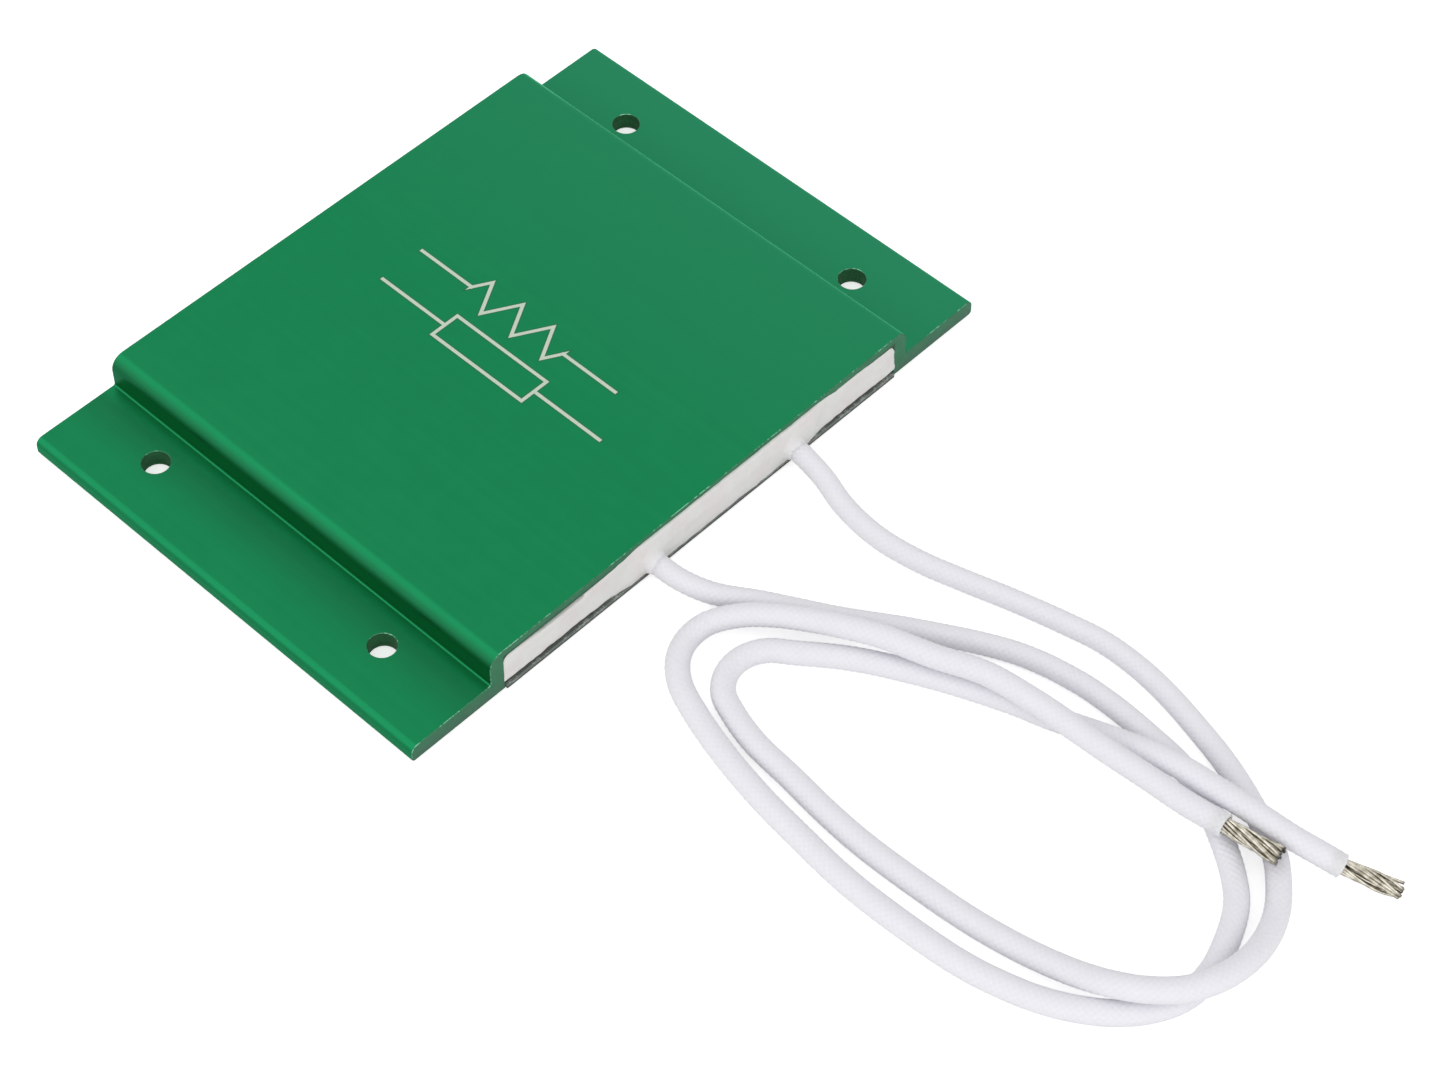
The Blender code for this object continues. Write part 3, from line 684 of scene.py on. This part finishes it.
def white_cement():
    """Chalky cement, mottled warm, that takes on the leads' colour where it climbs them."""
    made, tree, shader = new_material("cement", CEMENT, 0.58)
    grain = place_group(tree, GRAIN, size=0.00012, spread=22.0)
    cement = blended(tree, ranged(tree, grain["Mottle"], 0.42, 0.66), CEMENT, CEMENT_WARM)
    _, y, _ = parted(tree, object_place(tree))
    root = ramp_from(tree, y, CEMENT_FRONT, LEAD_ROOT)
    feed(tree, shader, base_color=blended(tree, root, cement, SLEEVE),
         roughness=ranged(tree, grain["Grain"], 0.3, 0.7, 0.48, 0.68))
    roughen(tree, shader, grain["Grain"], 0.00003)
    return made


def braided_sleeve():
    """Pale braid: the map's U counts ribs round the lead and V counts pitches along it."""
    made, tree, shader = new_material(
        "lead_sleeve", SLEEVE, 0.62, sheen_weight=0.1, subsurface_weight=0.6, subsurface_scale=0.0012,
        subsurface_radius=(1.0, 0.95, 1.0))
    u, v, _ = parted(tree, shader_node(tree, "TexCoord").outputs["UV"])
    waves = [maths(tree, "COSINE", times(tree, part, 2 * math.pi)) for part in (u, v)]
    ribs = times(tree, *waves)
    turns = times(tree, maths(tree, "ADD", u, v), 8 * math.pi)
    threads = maths(tree, "SINE", turns)
    grain = place_group(tree, GRAIN, size=0.00008, spread=40.0)
    # Darker colour painted into the braid's hollows as shade.
    shade = ranged(tree, ribs, -1.0, 1.0, 0.35, 1.0)
    feed(tree, shader, base_color=blended(tree, shade, SLEEVE_SHADE, SLEEVE),
         roughness=ranged(tree, grain["Mottle"], 0.3, 0.7, 0.55, 0.7))
    height = maths(tree, "ADD", ribs, times(tree, threads, 0.25))
    roughen(tree, shader, maths(tree, "ADD", height, grain["Grain"]), 0.000012)
    return made


def tinned_strands():
    """Tinned wire, darker towards the strands' tips: the attribute "cut" rises to 1 there."""
    made, tree, shader = new_material("tinned_strands", STRAND, 0.3, 1.0)
    grain = place_group(tree, GRAIN, size=0.00012, spread=6.0)
    tinned = blended(tree, ranged(tree, grain["Mottle"], 0.4, 0.65), STRAND, STRAND_DULL)
    cut = shader_node(tree, "Attribute", attribute_name="cut").outputs["Fac"]
    feed(tree, shader, base_color=blended(tree, cut, tinned, STRAND_CUT),
         roughness=ranged(tree, grain["Grain"], 0.3, 0.7, 0.22, 0.42))
    roughen(tree, shader, grain["Grain"], 0.00001)
    return made


def plain_stock(name, colour, roughness, grain_size, metallic=0.0):
    """A material of the sealed inner pieces: its colour broken up by its own grain."""
    made, tree, shader = new_material(name, colour, roughness, metallic)
    grain = place_group(tree, GRAIN, size=grain_size, spread=15.0)
    mottle = ranged(tree, grain["Mottle"], 0.35, 0.65)
    feed(tree, shader, base_color=blended(tree, mottle, shaded(colour, 0.75), colour))
    roughen(tree, shader, grain["Grain"], grain_size / 10)
    return made


# The view

def place_camera():
    """The camera that was fitted to the photograph."""
    data = bpy.data.cameras.new("view")
    data.lens = VIEW_LENS
    data.clip_start = 0.01
    camera = add_piece("view", data)
    level = math.cos(VIEW_ELEVATION)
    east, north = math.cos(VIEW_AZIMUTH), math.sin(VIEW_AZIMUTH)
    back = Vector((north * level, -east * level, math.sin(VIEW_ELEVATION)))
    right = Vector((east, north, 0.0))
    up = back.cross(right)
    turned = Matrix((
        math.cos(VIEW_ROLL) * right + math.sin(VIEW_ROLL) * up,
        math.cos(VIEW_ROLL) * up - math.sin(VIEW_ROLL) * right,
        back,
    )).transposed().to_4x4()
    camera.matrix_world = Matrix.Translation(VIEW_CENTRE + VIEW_DISTANCE * back) @ turned
    bpy.context.scene.camera = camera


# The leads

def smooth_route(points, spacing):
    """Even steps along a centripetal spline through the points."""
    places = [Vector(point) for point in points]
    places = [2 * places[0] - places[1], *places, 2 * places[-1] - places[-2]]
    dense = []
    for before, start, end, after in zip(places, places[1:], places[2:], places[3:]):
        knots = [0.0]
        for one, two in ((before, start), (start, end), (end, after)):
            knots.append(knots[-1] + (two - one).length ** 0.5)
        for step in range(ROUTE_FINENESS):
            t = knots[1] + (knots[2] - knots[1]) * step / ROUTE_FINENESS
            row = [before, start, end, after]
            for spans in (((0, 1), (1, 2), (2, 3)), ((0, 2), (1, 3)), ((1, 2),)):
                row = [one.lerp(two, (t - knots[low]) / (knots[high] - knots[low]))
                       for one, two, (low, high) in zip(row, row[1:], spans)]
            dense.append(row[0])
    dense.append(places[-2])
    travelled = [0.0]
    for one, two in zip(dense, dense[1:]):
        travelled.append(travelled[-1] + (two - one).length)
    count = round(travelled[-1] / spacing)
    route, j = [], 0
    for i in range(count + 1):
        want = travelled[-1] * i / count
        while j < len(dense) - 2 and travelled[j + 1] < want:
            j += 1
        share = (want - travelled[j]) / (travelled[j + 1] - travelled[j])
        route.append(dense[j].lerp(dense[j + 1], share))
    return route


def level_frames(path):
    """At each point of the path, the direction across it on the level and the one that stands on it."""
    frames = []
    for before, after in zip([path[0], *path], [*path[1:], path[-1]]):
        way = (after - before).normalized()
        across = way.cross(Vector((0.0, 0.0, 1.0))).normalized()
        frames.append((across, across.cross(way)))
    return frames


def slack(distance):
    """How much wider the loose braid lies in its far loops and at its cut than near the cement."""
    far = math.exp(-((distance - SLACK_MIDDLE) / SLACK_REACH) ** 2)
    return BRAID_SLACK * (far if distance < SLACK_MIDDLE else max(far, CUT_SLACK))


def sleeve_rings(path):
    """The sleeve's rings as (place on the path, radius, ripple's share), with the cut and bore last."""
    rings = [(i, LEAD_DIAMETER / 2 - BRAID_RIPPLE, 1.0) for i in range(len(path))]
    last, cut = len(path) - 1, LEAD_BORE / 2
    depth = round(BORE_DEPTH / SLEEVE_STEP)
    return rings + [(last, cut + BORE_RIM, 0.0), (last, cut, 0.0), (last - depth, cut, 0.0)]


def make_sleeve(name, path, look):
    """A closed tube with the braid's ripples in its surface and a bore at its cut end."""
    frames = level_frames(path)
    shape = bmesh.new()
    wrap = shape.loops.layers.uv.new("braid")
    rings = []
    for place, radius, share in sleeve_rings(path):
        across, upright = frames[place]
        wide = 1 + slack(place * SLEEVE_STEP) / radius
        ring = []
        for side in range(BRAID_SIDES):
            angle = 2 * math.pi * side / BRAID_SIDES
            ribs = math.cos(BRAID_RIBS * angle)
            pitches = math.cos(2 * math.pi * place * SLEEVE_STEP / BRAID_PITCH)
            r = radius + BRAID_RIPPLE * share * ribs * pitches
            spot = path[place] + r * (wide * math.cos(angle) * across + math.sin(angle) * upright)
            ring.append(shape.verts.new(spot))
        rings.append(ring)
    for k, (one, two) in enumerate(zip(rings, rings[1:])):
        for i in range(BRAID_SIDES):
            j = (i + 1) % BRAID_SIDES
            face = shape.faces.new((one[i], one[j], two[j], two[i]))
            for loop, (column, row) in zip(face.loops, ((i, k), (i + 1, k), (i + 1, k + 1), (i, k + 1))):
                loop[wrap].uv = (BRAID_RIBS * column / BRAID_SIDES, row * SLEEVE_STEP / BRAID_PITCH)
    shape.faces.new(rings[0])
    shape.faces.new(rings[-1])
    bmesh.ops.recalc_face_normals(shape, faces=shape.faces)
    data = bpy.data.meshes.new(name)
    shape.to_mesh(data)
    shape.free()
    data.shade_smooth()
    data.set_sharp_from_angle(angle=CUT_ANGLE)
    return add_piece(name, data, look)


def wire_curve(name, radius, fineness):
    """An empty curve whose lines turn into round wires with closed ends."""
    curve = bpy.data.curves.new(name, "CURVE")
    curve.dimensions = "3D"
    curve.bevel_depth = radius
    curve.bevel_resolution = fineness
    curve.use_fill_caps = True
    return curve


def add_wire(curve, spots):
    """Adds the wire that runs through the spots."""
    spline = curve.splines.new("POLY")
    spline.points.add(len(spots) - 1)
    for point, spot in zip(spline.points, spots):
        point.co = (*spot, 1.0)


def wires_as_mesh(name, curve, *looks):
    """A piece made of the curve's wires."""
    piece = only(add_piece(name, curve, *looks))
    bpy.ops.object.convert(target="MESH")
    return piece


def make_strand_bundle(name, end, tip, look, seed):
    """The stripped end: single strands in their lay, wandering and parting towards the tip."""
    chance = random.Random(seed)
    way = (Vector(tip) - Vector(end)).normalized()
    across = way.orthogonal().normalized()
    beside = way.cross(across)
    curve = wire_curve(name, STRAND_DIAMETER / 2, fineness=2)
    for count, radius in STRAND_RINGS:
        for k in range(count):
            start = 2 * math.pi * (k + chance.uniform(-STRAND_TURN, STRAND_TURN)) / count
            clump = chance.uniform(-STRAND_CLUMP, STRAND_CLUMP)
            parting = chance.uniform(*STRAND_PARTING)
            length = STRIPPED_LENGTH * chance.uniform(*STRAND_LENGTHS)
            spots = []
            for step in range(STRAND_STEPS + 1):
                share = step / STRAND_STEPS
                angle = start + 2 * math.pi * length * share / STRAND_LAY + clump * share ** 1.5
                swell = STRAND_BELLY * math.sin(math.pi * share)
                r = radius * (STRAND_NECK + swell + parting * share ** 2)
                along = length * share - STRAND_ROOT * (1 - share)
                aside = r * (math.cos(angle) * across + math.sin(angle) * beside)
                spots.append(Vector(end) + way * along + aside)
            add_wire(curve, spots)
    bundle = wires_as_mesh(name, curve, look)
    bpy.ops.object.shade_smooth_by_angle(angle=SHARP_ANGLE)
    cut = bundle.data.attributes.new("cut", "FLOAT", "POINT")
    for vert, value in zip(bundle.data.vertices, cut.data):
        before_tip = STRAND_TIP * STRIPPED_LENGTH - (vert.co - Vector(end)).dot(way)
        value.value = min(1.0, max(0.0, 1.0 - before_tip / CUT_SHADE)) ** 2
    return bundle


def make_lead(side, exit_x, route, tip, sleeve_look, strand_look):
    """One lead with its stripped end, and the path that it follows."""
    start = Vector((exit_x, CEMENT_FRONT - SEAT, ELEMENT_Z))
    inward = Vector((0.0, LEAD_RUN_IN, 0.0))
    path = smooth_route([start + inward, start, *route], SLEEVE_STEP)
    path = path[round((LEAD_RUN_IN - 2 * SEAT) / SLEEVE_STEP):]
    sleeve = make_sleeve(side + "_sleeve", path, sleeve_look)
    bundle = make_strand_bundle(side + "_strand_bundle", route[-1], tip, strand_look, seed=len(route))
    finish_piece(sleeve, "lead_sleeve", side + "_lead")
    finish_piece(bundle, "tinned_strands", side + "_strands")
    return path


# The housing and the cement

def ease_box_edge(shell, side):
    """Gives one long upper edge of the box its full rounding: the arc is enlarged and drawn back in."""
    centre = Vector((side * (BOX_WIDTH / 2 - BOX_ROUNDING), 0.0, HOUSING_TOP - BOX_ROUNDING))
    growth = FULL_ROUNDING - BOX_ROUNDING

    def on_arc(edge):
        return all(
            side * (vert.co.x - centre.x) > -FINE and vert.co.z > centre.z - FINE
            and abs(math.hypot(vert.co.x - centre.x, vert.co.z - centre.z) - BOX_ROUNDING) < 2 * FINE
            for vert in edge.verts)

    select_where(shell, "edges", on_arc)
    larger = FULL_ROUNDING / BOX_ROUNDING
    bpy.ops.transform.resize(value=(larger, 1.0, larger), center_override=centre)
    bpy.ops.transform.translate(value=(-side * growth, 0.0, -growth))
    leave_edit()


def copy_node(name, node, *looks):
    """A node's mesh as a piece of its own, its facets joined into the flat faces that they make up."""
    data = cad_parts[node].data.copy()
    data.materials.clear()
    piece = only(add_piece(name, data, *looks))
    bpy.ops.mesh.customdata_custom_splitnormals_clear()
    edit_all(piece)
    bpy.ops.mesh.remove_doubles(threshold=WELD)
    bpy.ops.mesh.dissolve_limited(angle_limit=FLAT_ANGLE)
    leave_edit()
    return piece


def make_housing(green, sawn, bored, burred):
    """The extrusion with its rims eased where saw and drill cut it, and a look for each kind of face."""
    shell = copy_node("housing_shell", "housing", green, sawn, bored, burred)
    sawn_index, bored_index, burred_index = 1, 2, 3
    for face in shell.data.polygons:
        from_hole = math.hypot(abs(face.center.x) - HOLE_X, abs(face.center.y) - HOLE_Y)
        if abs(face.normal.y) > SQUARE and abs(face.center.y) > END_Y - CLOSE:
            face.material_index = sawn_index
        elif abs(face.normal.z) < UPRIGHT and from_hole < HOLE_REACH:
            face.material_index = bored_index
    for side in (-1, 1):
        ease_box_edge(shell, side)
    rims = shell.modifiers.new("rims", "BEVEL")
    rims.width = SAWN_EDGE
    rims.segments = 2
    rims.limit_method = "ANGLE"
    rims.angle_limit = SHARP_ANGLE
    rims.material = burred_index
    weights = shell.modifiers.new("flat_faces", "WEIGHTED_NORMAL")
    weights.keep_sharp = True
    only(shell)
    bpy.ops.object.shade_smooth_by_angle(angle=SHARP_ANGLE)
    apply_modifiers(shell)
    finish_piece(shell, "green_anodised", "housing")


def make_plate(look):
    """The base plate with its burrs off, a hair past the sawn end where the leads leave."""
    plate = copy_node("base_sheet", "base_plate", look)

    def lead_end(face):
        return face.normal.y < -SQUARE

    select_where(plate, "faces", lead_end)
    bpy.ops.transform.translate(value=(0.0, -PLATE_PROUD, 0.0))
    bpy.ops.mesh.select_all(action="SELECT")
    wider = (frame_half("base_plate") + PLATE_SPREAD) / frame_half("base_plate")
    bpy.ops.transform.resize(value=(wider, 1.0, 1.0), center_override=(0.0, 0.0, 0.0))
    bpy.ops.mesh.bevel(offset=PLATE_BURR, segments=1)
    leave_edit()
    finish_piece(plate, "base_metal", "base_plate")


def cement_plug(name, front):
    """Cement that fills one end of the pocket to its walls, built at the lead end."""
    half = frame_half("base_plate") + SEAT - PLUG_EASE
    low = (-half, front, PLATE_TOP + SEAT)
    high = (half, CEMENT_INNER, HOUSING_TOP - TOP_WALL - PLUG_EASE)
    plug = block(name, low, high)

    def upper_long(edge):
        one, two = edge.verts
        return min(one.co.z, two.co.z) > high[2] - CLOSE and abs(one.co.y - two.co.y) > 10 * CLOSE

    select_where(plug, "edges", upper_long)
    bpy.ops.mesh.bevel(offset=POCKET_CORNER, segments=4)
    leave_edit()
    for place in (SUNK_LEFT, SUNK_RIGHT):
        slice_across(plug, (place, 0.0, 0.0), (1.0, 0.0, 0.0))

    def sunk_edge(edge):
        return all(
            vert.co.y < front + CLOSE and vert.co.z > high[2] - CLOSE
            and SUNK_LEFT - CLOSE < vert.co.x < SUNK_RIGHT + CLOSE for vert in edge.verts)

    shift_edges(plug, sunk_edge, (0.0, 0.0, -SUNK_DEPTH))
    for side in (-1, 1):
        def lower_long(edge, side=side):
            return all(vert.co.z < low[2] + CLOSE and side * vert.co.x > 0.0 for vert in edge.verts)

        shift_edges(plug, lower_long, (side * FOOT_SPREAD, 0.0, 0.0))
    return plug


def frame_half(node):
    """Half the width of a node that lies evenly on both sides of the middle."""
    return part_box(node)[1].x


def shift_edges(piece, chosen, move):
    """Moves the edges of a block that a test picks."""
    select_where(piece, "edges", chosen)
    bpy.ops.transform.translate(value=move)
    leave_edit()


def slice_across(piece, place, normal):
    """Cuts a new row of edges all round a piece."""
    edit_all(piece)
    bpy.ops.mesh.bisect(plane_co=place, plane_no=normal)
    leave_edit()


def trim_corner(piece, upper, lower):
    """Slices off what lies below a slanting line, right through from front to back."""
    run = Vector(lower) - Vector(upper)
    edit_all(piece)
    bpy.ops.mesh.bisect(plane_co=upper, plane_no=(run.z, 0.0, -run.x), use_fill=True, clear_outer=True)
    leave_edit()


def make_bead():
    """The cement that ran over the sawn end, a slanting block that leans in at its crown and foot."""
    low = (BEAD_LEFT, CEMENT_FRONT + BEAD_SHY, BEAD_LOW)
    high = (BEAD_RIGHT, -END_Y + LAP_INSIDE, HOUSING_TOP - BEAD_BELOW_TOP)
    bead = block("bead", low, high)
    middle = ((BEAD_LEFT + BEAD_RIGHT) / 2, low[1], (low[2] + high[2]) / 2)
    run = BEAD_RIGHT - BEAD_LEFT

    def upper_left(edge):
        return all(vert.co.x < BEAD_LEFT + CLOSE and vert.co.z > high[2] - CLOSE for vert in edge.verts)

    def lower_right(edge):
        return all(vert.co.x > BEAD_RIGHT - CLOSE and vert.co.z < low[2] + CLOSE for vert in edge.verts)

    def foremost(item):
        return all(vert.co.y < low[1] + CLOSE for vert in item.verts)

    def crown_or_foot(edge):
        between = (BEAD_CUTS[0] - CLOSE < vert.co.z < BEAD_CUTS[1] + CLOSE for vert in edge.verts)
        return foremost(edge) and not any(between)

    trim_corner(bead, (BEAD_LEFT, low[1], BORDER_Z), (BEAD_FOOT_X, low[1], low[2]))
    shift_edges(bead, upper_left, (LEFT_SLANT, 0.0, 0.0))
    shift_edges(bead, lower_right, (-RIGHT_SLANT, 0.0, 0.0))
    select_where(bead, "faces", foremost)
    narrower = (run - 2 * BEAD_TAPER) / run
    bpy.ops.transform.resize(value=(narrower, 1.0, BEAD_FACE), center_override=middle)
    leave_edit()
    for level in BEAD_CUTS:
        slice_across(bead, (0.0, 0.0, level), (0.0, 0.0, 1.0))
    shift_edges(bead, crown_or_foot, (0.0, BEAD_BACK, 0.0))
    return bead


def make_smear(left, right, left_z, right_z, proud):
    """A thin skin of cement wiped over the window's rim, with its own heights at each end."""
    low = (left, -END_Y - proud, left_z[0])
    high = (right, -END_Y + LAP_INSIDE, left_z[1])
    smear = block("smear", low, high)
    for level, level_at_right in zip(left_z, right_z):
        def right_edge(edge, level=level):
            return all(
                vert.co.x > right - CLOSE and abs(vert.co.z - level) < CLOSE / 2 for vert in edge.verts)

        shift_edges(smear, right_edge, (0.0, 0.0, level_at_right - level))
    return smear


def make_collar(exit_x):
    """The cement drawn out along one lead, as a low cone over its root."""
    bpy.ops.mesh.primitive_cone_add(
        vertices=32, radius1=COLLAR_FOOT, radius2=COLLAR_NECK, depth=COLLAR_LENGTH,
        location=(exit_x, CEMENT_FRONT - COLLAR_FORWARD, ELEMENT_Z), rotation=(math.pi / 2, 0.0, 0.0))
    collar = bpy.context.active_object
    settle(collar)
    return collar


def make_channel(path):
    """A rod as thick as a lead, through the cement and along the lead's first bend."""
    curve = wire_curve("channel", LEAD_DIAMETER / 2 - 1.5 * BRAID_RIPPLE, fineness=6)
    inside = Vector((path[0].x, CEMENT_INNER + CHANNEL_INSIDE, path[0].z))
    add_wire(curve, [inside, *path[:round(CHANNEL_REACH / SLEEVE_STEP):2]])
    return wires_as_mesh("channel", curve)


def roughen_cement(plug, voxel, lumps):
    """Turns joined blocks into one softened body with the lumps of cement that was pressed in by hand."""
    remesh = plug.modifiers.new("skin", "REMESH")
    remesh.mode = "VOXEL"
    remesh.voxel_size = voxel
    soften = plug.modifiers.new("soften", "SMOOTH")
    soften.iterations = 5
    for size, depth in lumps:
        clouds = bpy.data.textures.new("lumps", "CLOUDS")
        clouds.noise_scale = size
        swell = plug.modifiers.new("swell", "DISPLACE")
        swell.texture = clouds
        swell.texture_coords = "LOCAL"
        swell.strength = depth
    apply_modifiers(plug)


def make_front_cement(look, paths):
    """The lead end's cement: plug, bead, smears and collars in one body, with the leads' channels."""
    plug = cement_plug("front_cement", -END_Y - FRONT_PROUD)
    gather(plug, make_bead(), make_smear(*LEFT_SMEAR), make_smear(*RIGHT_SMEAR),
           *[make_collar(path[0].x) for path in paths])
    roughen_cement(plug, FRONT_VOXEL, FRONT_LUMPS)
    for path in paths:
        cut_away(plug, make_channel(path))
    finish_cement(plug, look, "front_potting")


def make_rear_cement(look):
    """The far end's cement: the same plug, turned round, without a bead."""
    plug = cement_plug("rear_cement", -END_Y - REAR_PROUD)
    plug.rotation_euler = (0.0, 0.0, math.pi)
    settle(plug)
    roughen_cement(plug, REAR_VOXEL, REAR_LUMPS)
    finish_cement(plug, look, "rear_potting")


def finish_cement(plug, look, node):
    """Gives the cement its look and shading, and puts it in its node's place."""
    plug.data.materials.append(look)
    only(plug)
    bpy.ops.object.shade_smooth_by_angle(angle=SHARP_ANGLE)
    finish_piece(plug, "potting", node)


def dress_nodes(looks):
    """Gives each CAD node that stays its own finish."""
    for name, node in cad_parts.items():
        for ending, look in looks.items():
            if name.endswith(ending):
                node.data.materials.clear()
                node.data.materials.append(look)


# The studio

def make_floor():
    """A pale floor that reads as white to the camera and keeps the part's shadow."""
    bpy.ops.mesh.primitive_plane_add(size=FLOOR_WIDTH, location=(0.0, 0.0, -FLOOR_DROP))
    floor = bpy.context.active_object
    floor.name = "floor"
    made, tree, shader = new_material("floor", FLOOR_GREY, 0.9, emission_color=WHITE)
    seen = shader_node(tree, "LightPath").outputs["Is Camera Ray"]
    feed(tree, shader, emission_strength=times(tree, seen, FLOOR_GLOW))
    floor.data.materials.append(made)


def make_sky():
    """White to the eye and in reflections, and a dimmer even light on the surfaces."""
    world = bpy.data.worlds.new("studio")
    bpy.context.scene.world = world
    world.use_nodes = True
    tree = world.node_tree
    tree.nodes.clear()
    path = shader_node(tree, "LightPath").outputs
    seen = maths(tree, "MAXIMUM", path["Is Camera Ray"], path["Is Glossy Ray"])
    seen = maths(tree, "MAXIMUM", seen, path["Is Transmission Ray"])
    even = shader_node(tree, "Background", {"Color": WHITE, "Strength": EVEN_LIGHT})
    white = shader_node(tree, "Background", {"Color": WHITE, "Strength": 1.0})
    mixed = shader_node(tree, "MixShader", {0: seen, 1: even.outputs[0], 2: white.outputs[0]})
    out = shader_node(tree, "OutputWorld", {"Surface": mixed.outputs[0]})
    out.is_active_output = True


def add_lamp(name, place, aim, size, watts):
    """A square soft lamp that shines from one place to another."""
    data = bpy.data.lights.new(name, "AREA")
    data.shape = "SQUARE"
    data.size = size
    data.energy = watts
    lamp = add_piece(name, data)
    lamp.location = place
    lamp.rotation_euler = (Vector(place) - Vector(aim)).to_track_quat("Z", "Y").to_euler()


HOUSING_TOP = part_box("housing")[1].z
FLANGE_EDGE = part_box("housing")[1].x
END_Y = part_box("housing")[1].y
PLATE_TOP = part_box("base_plate")[1].z
CEMENT_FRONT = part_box("front_potting")[0].y
CEMENT_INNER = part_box("front_potting")[1].y
ELEMENT_Z = sum(corner.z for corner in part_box("left_crimp")) / 2

place_camera()
sleeve_look = braided_sleeve()
strand_look = tinned_strands()
lead_paths = [
    make_lead("left", LEFT_EXIT_X, LEFT_ROUTE, LEFT_TIP, sleeve_look, strand_look),
    make_lead("right", RIGHT_EXIT_X, RIGHT_ROUTE, RIGHT_TIP, sleeve_look, strand_look),
]

make_housing(green_anodised(), sawn_aluminium(), drilled_bore(), burred_edge())
make_plate(plate_metal())
cement_look = white_cement()
make_front_cement(cement_look, lead_paths)
make_rear_cement(cement_look)
tin_look = plain_stock("tinned_metal", TIN, roughness=0.35, grain_size=0.0002, metallic=0.9)
dress_nodes({
    "mica_sheet": plain_stock("mica", MICA, roughness=0.5, grain_size=0.0006),
    "former_card": plain_stock("former", FORMER_TAN, roughness=0.7, grain_size=0.0003),
    "resistance_winding": plain_stock(
        "resistance_wire", WIRE_GREY, roughness=0.4, grain_size=0.0002, metallic=0.9),
    "terminal_strap": tin_look,
    "crimp": tin_look,
    "conductor": strand_look,
    "lead_tail": plain_stock("lead_sleeve_inside", SLEEVE, roughness=0.62, grain_size=0.0003),
})

make_floor()
make_sky()
add_lamp("overhead", place=(-0.72, 0.48, 0.90), aim=(0.0, -0.03, 0.0), size=1.9, watts=6.6)
add_lamp("front", place=(-0.38, -1.20, 0.72), aim=(0.0, -0.05, 0.0), size=1.6, watts=7.3)
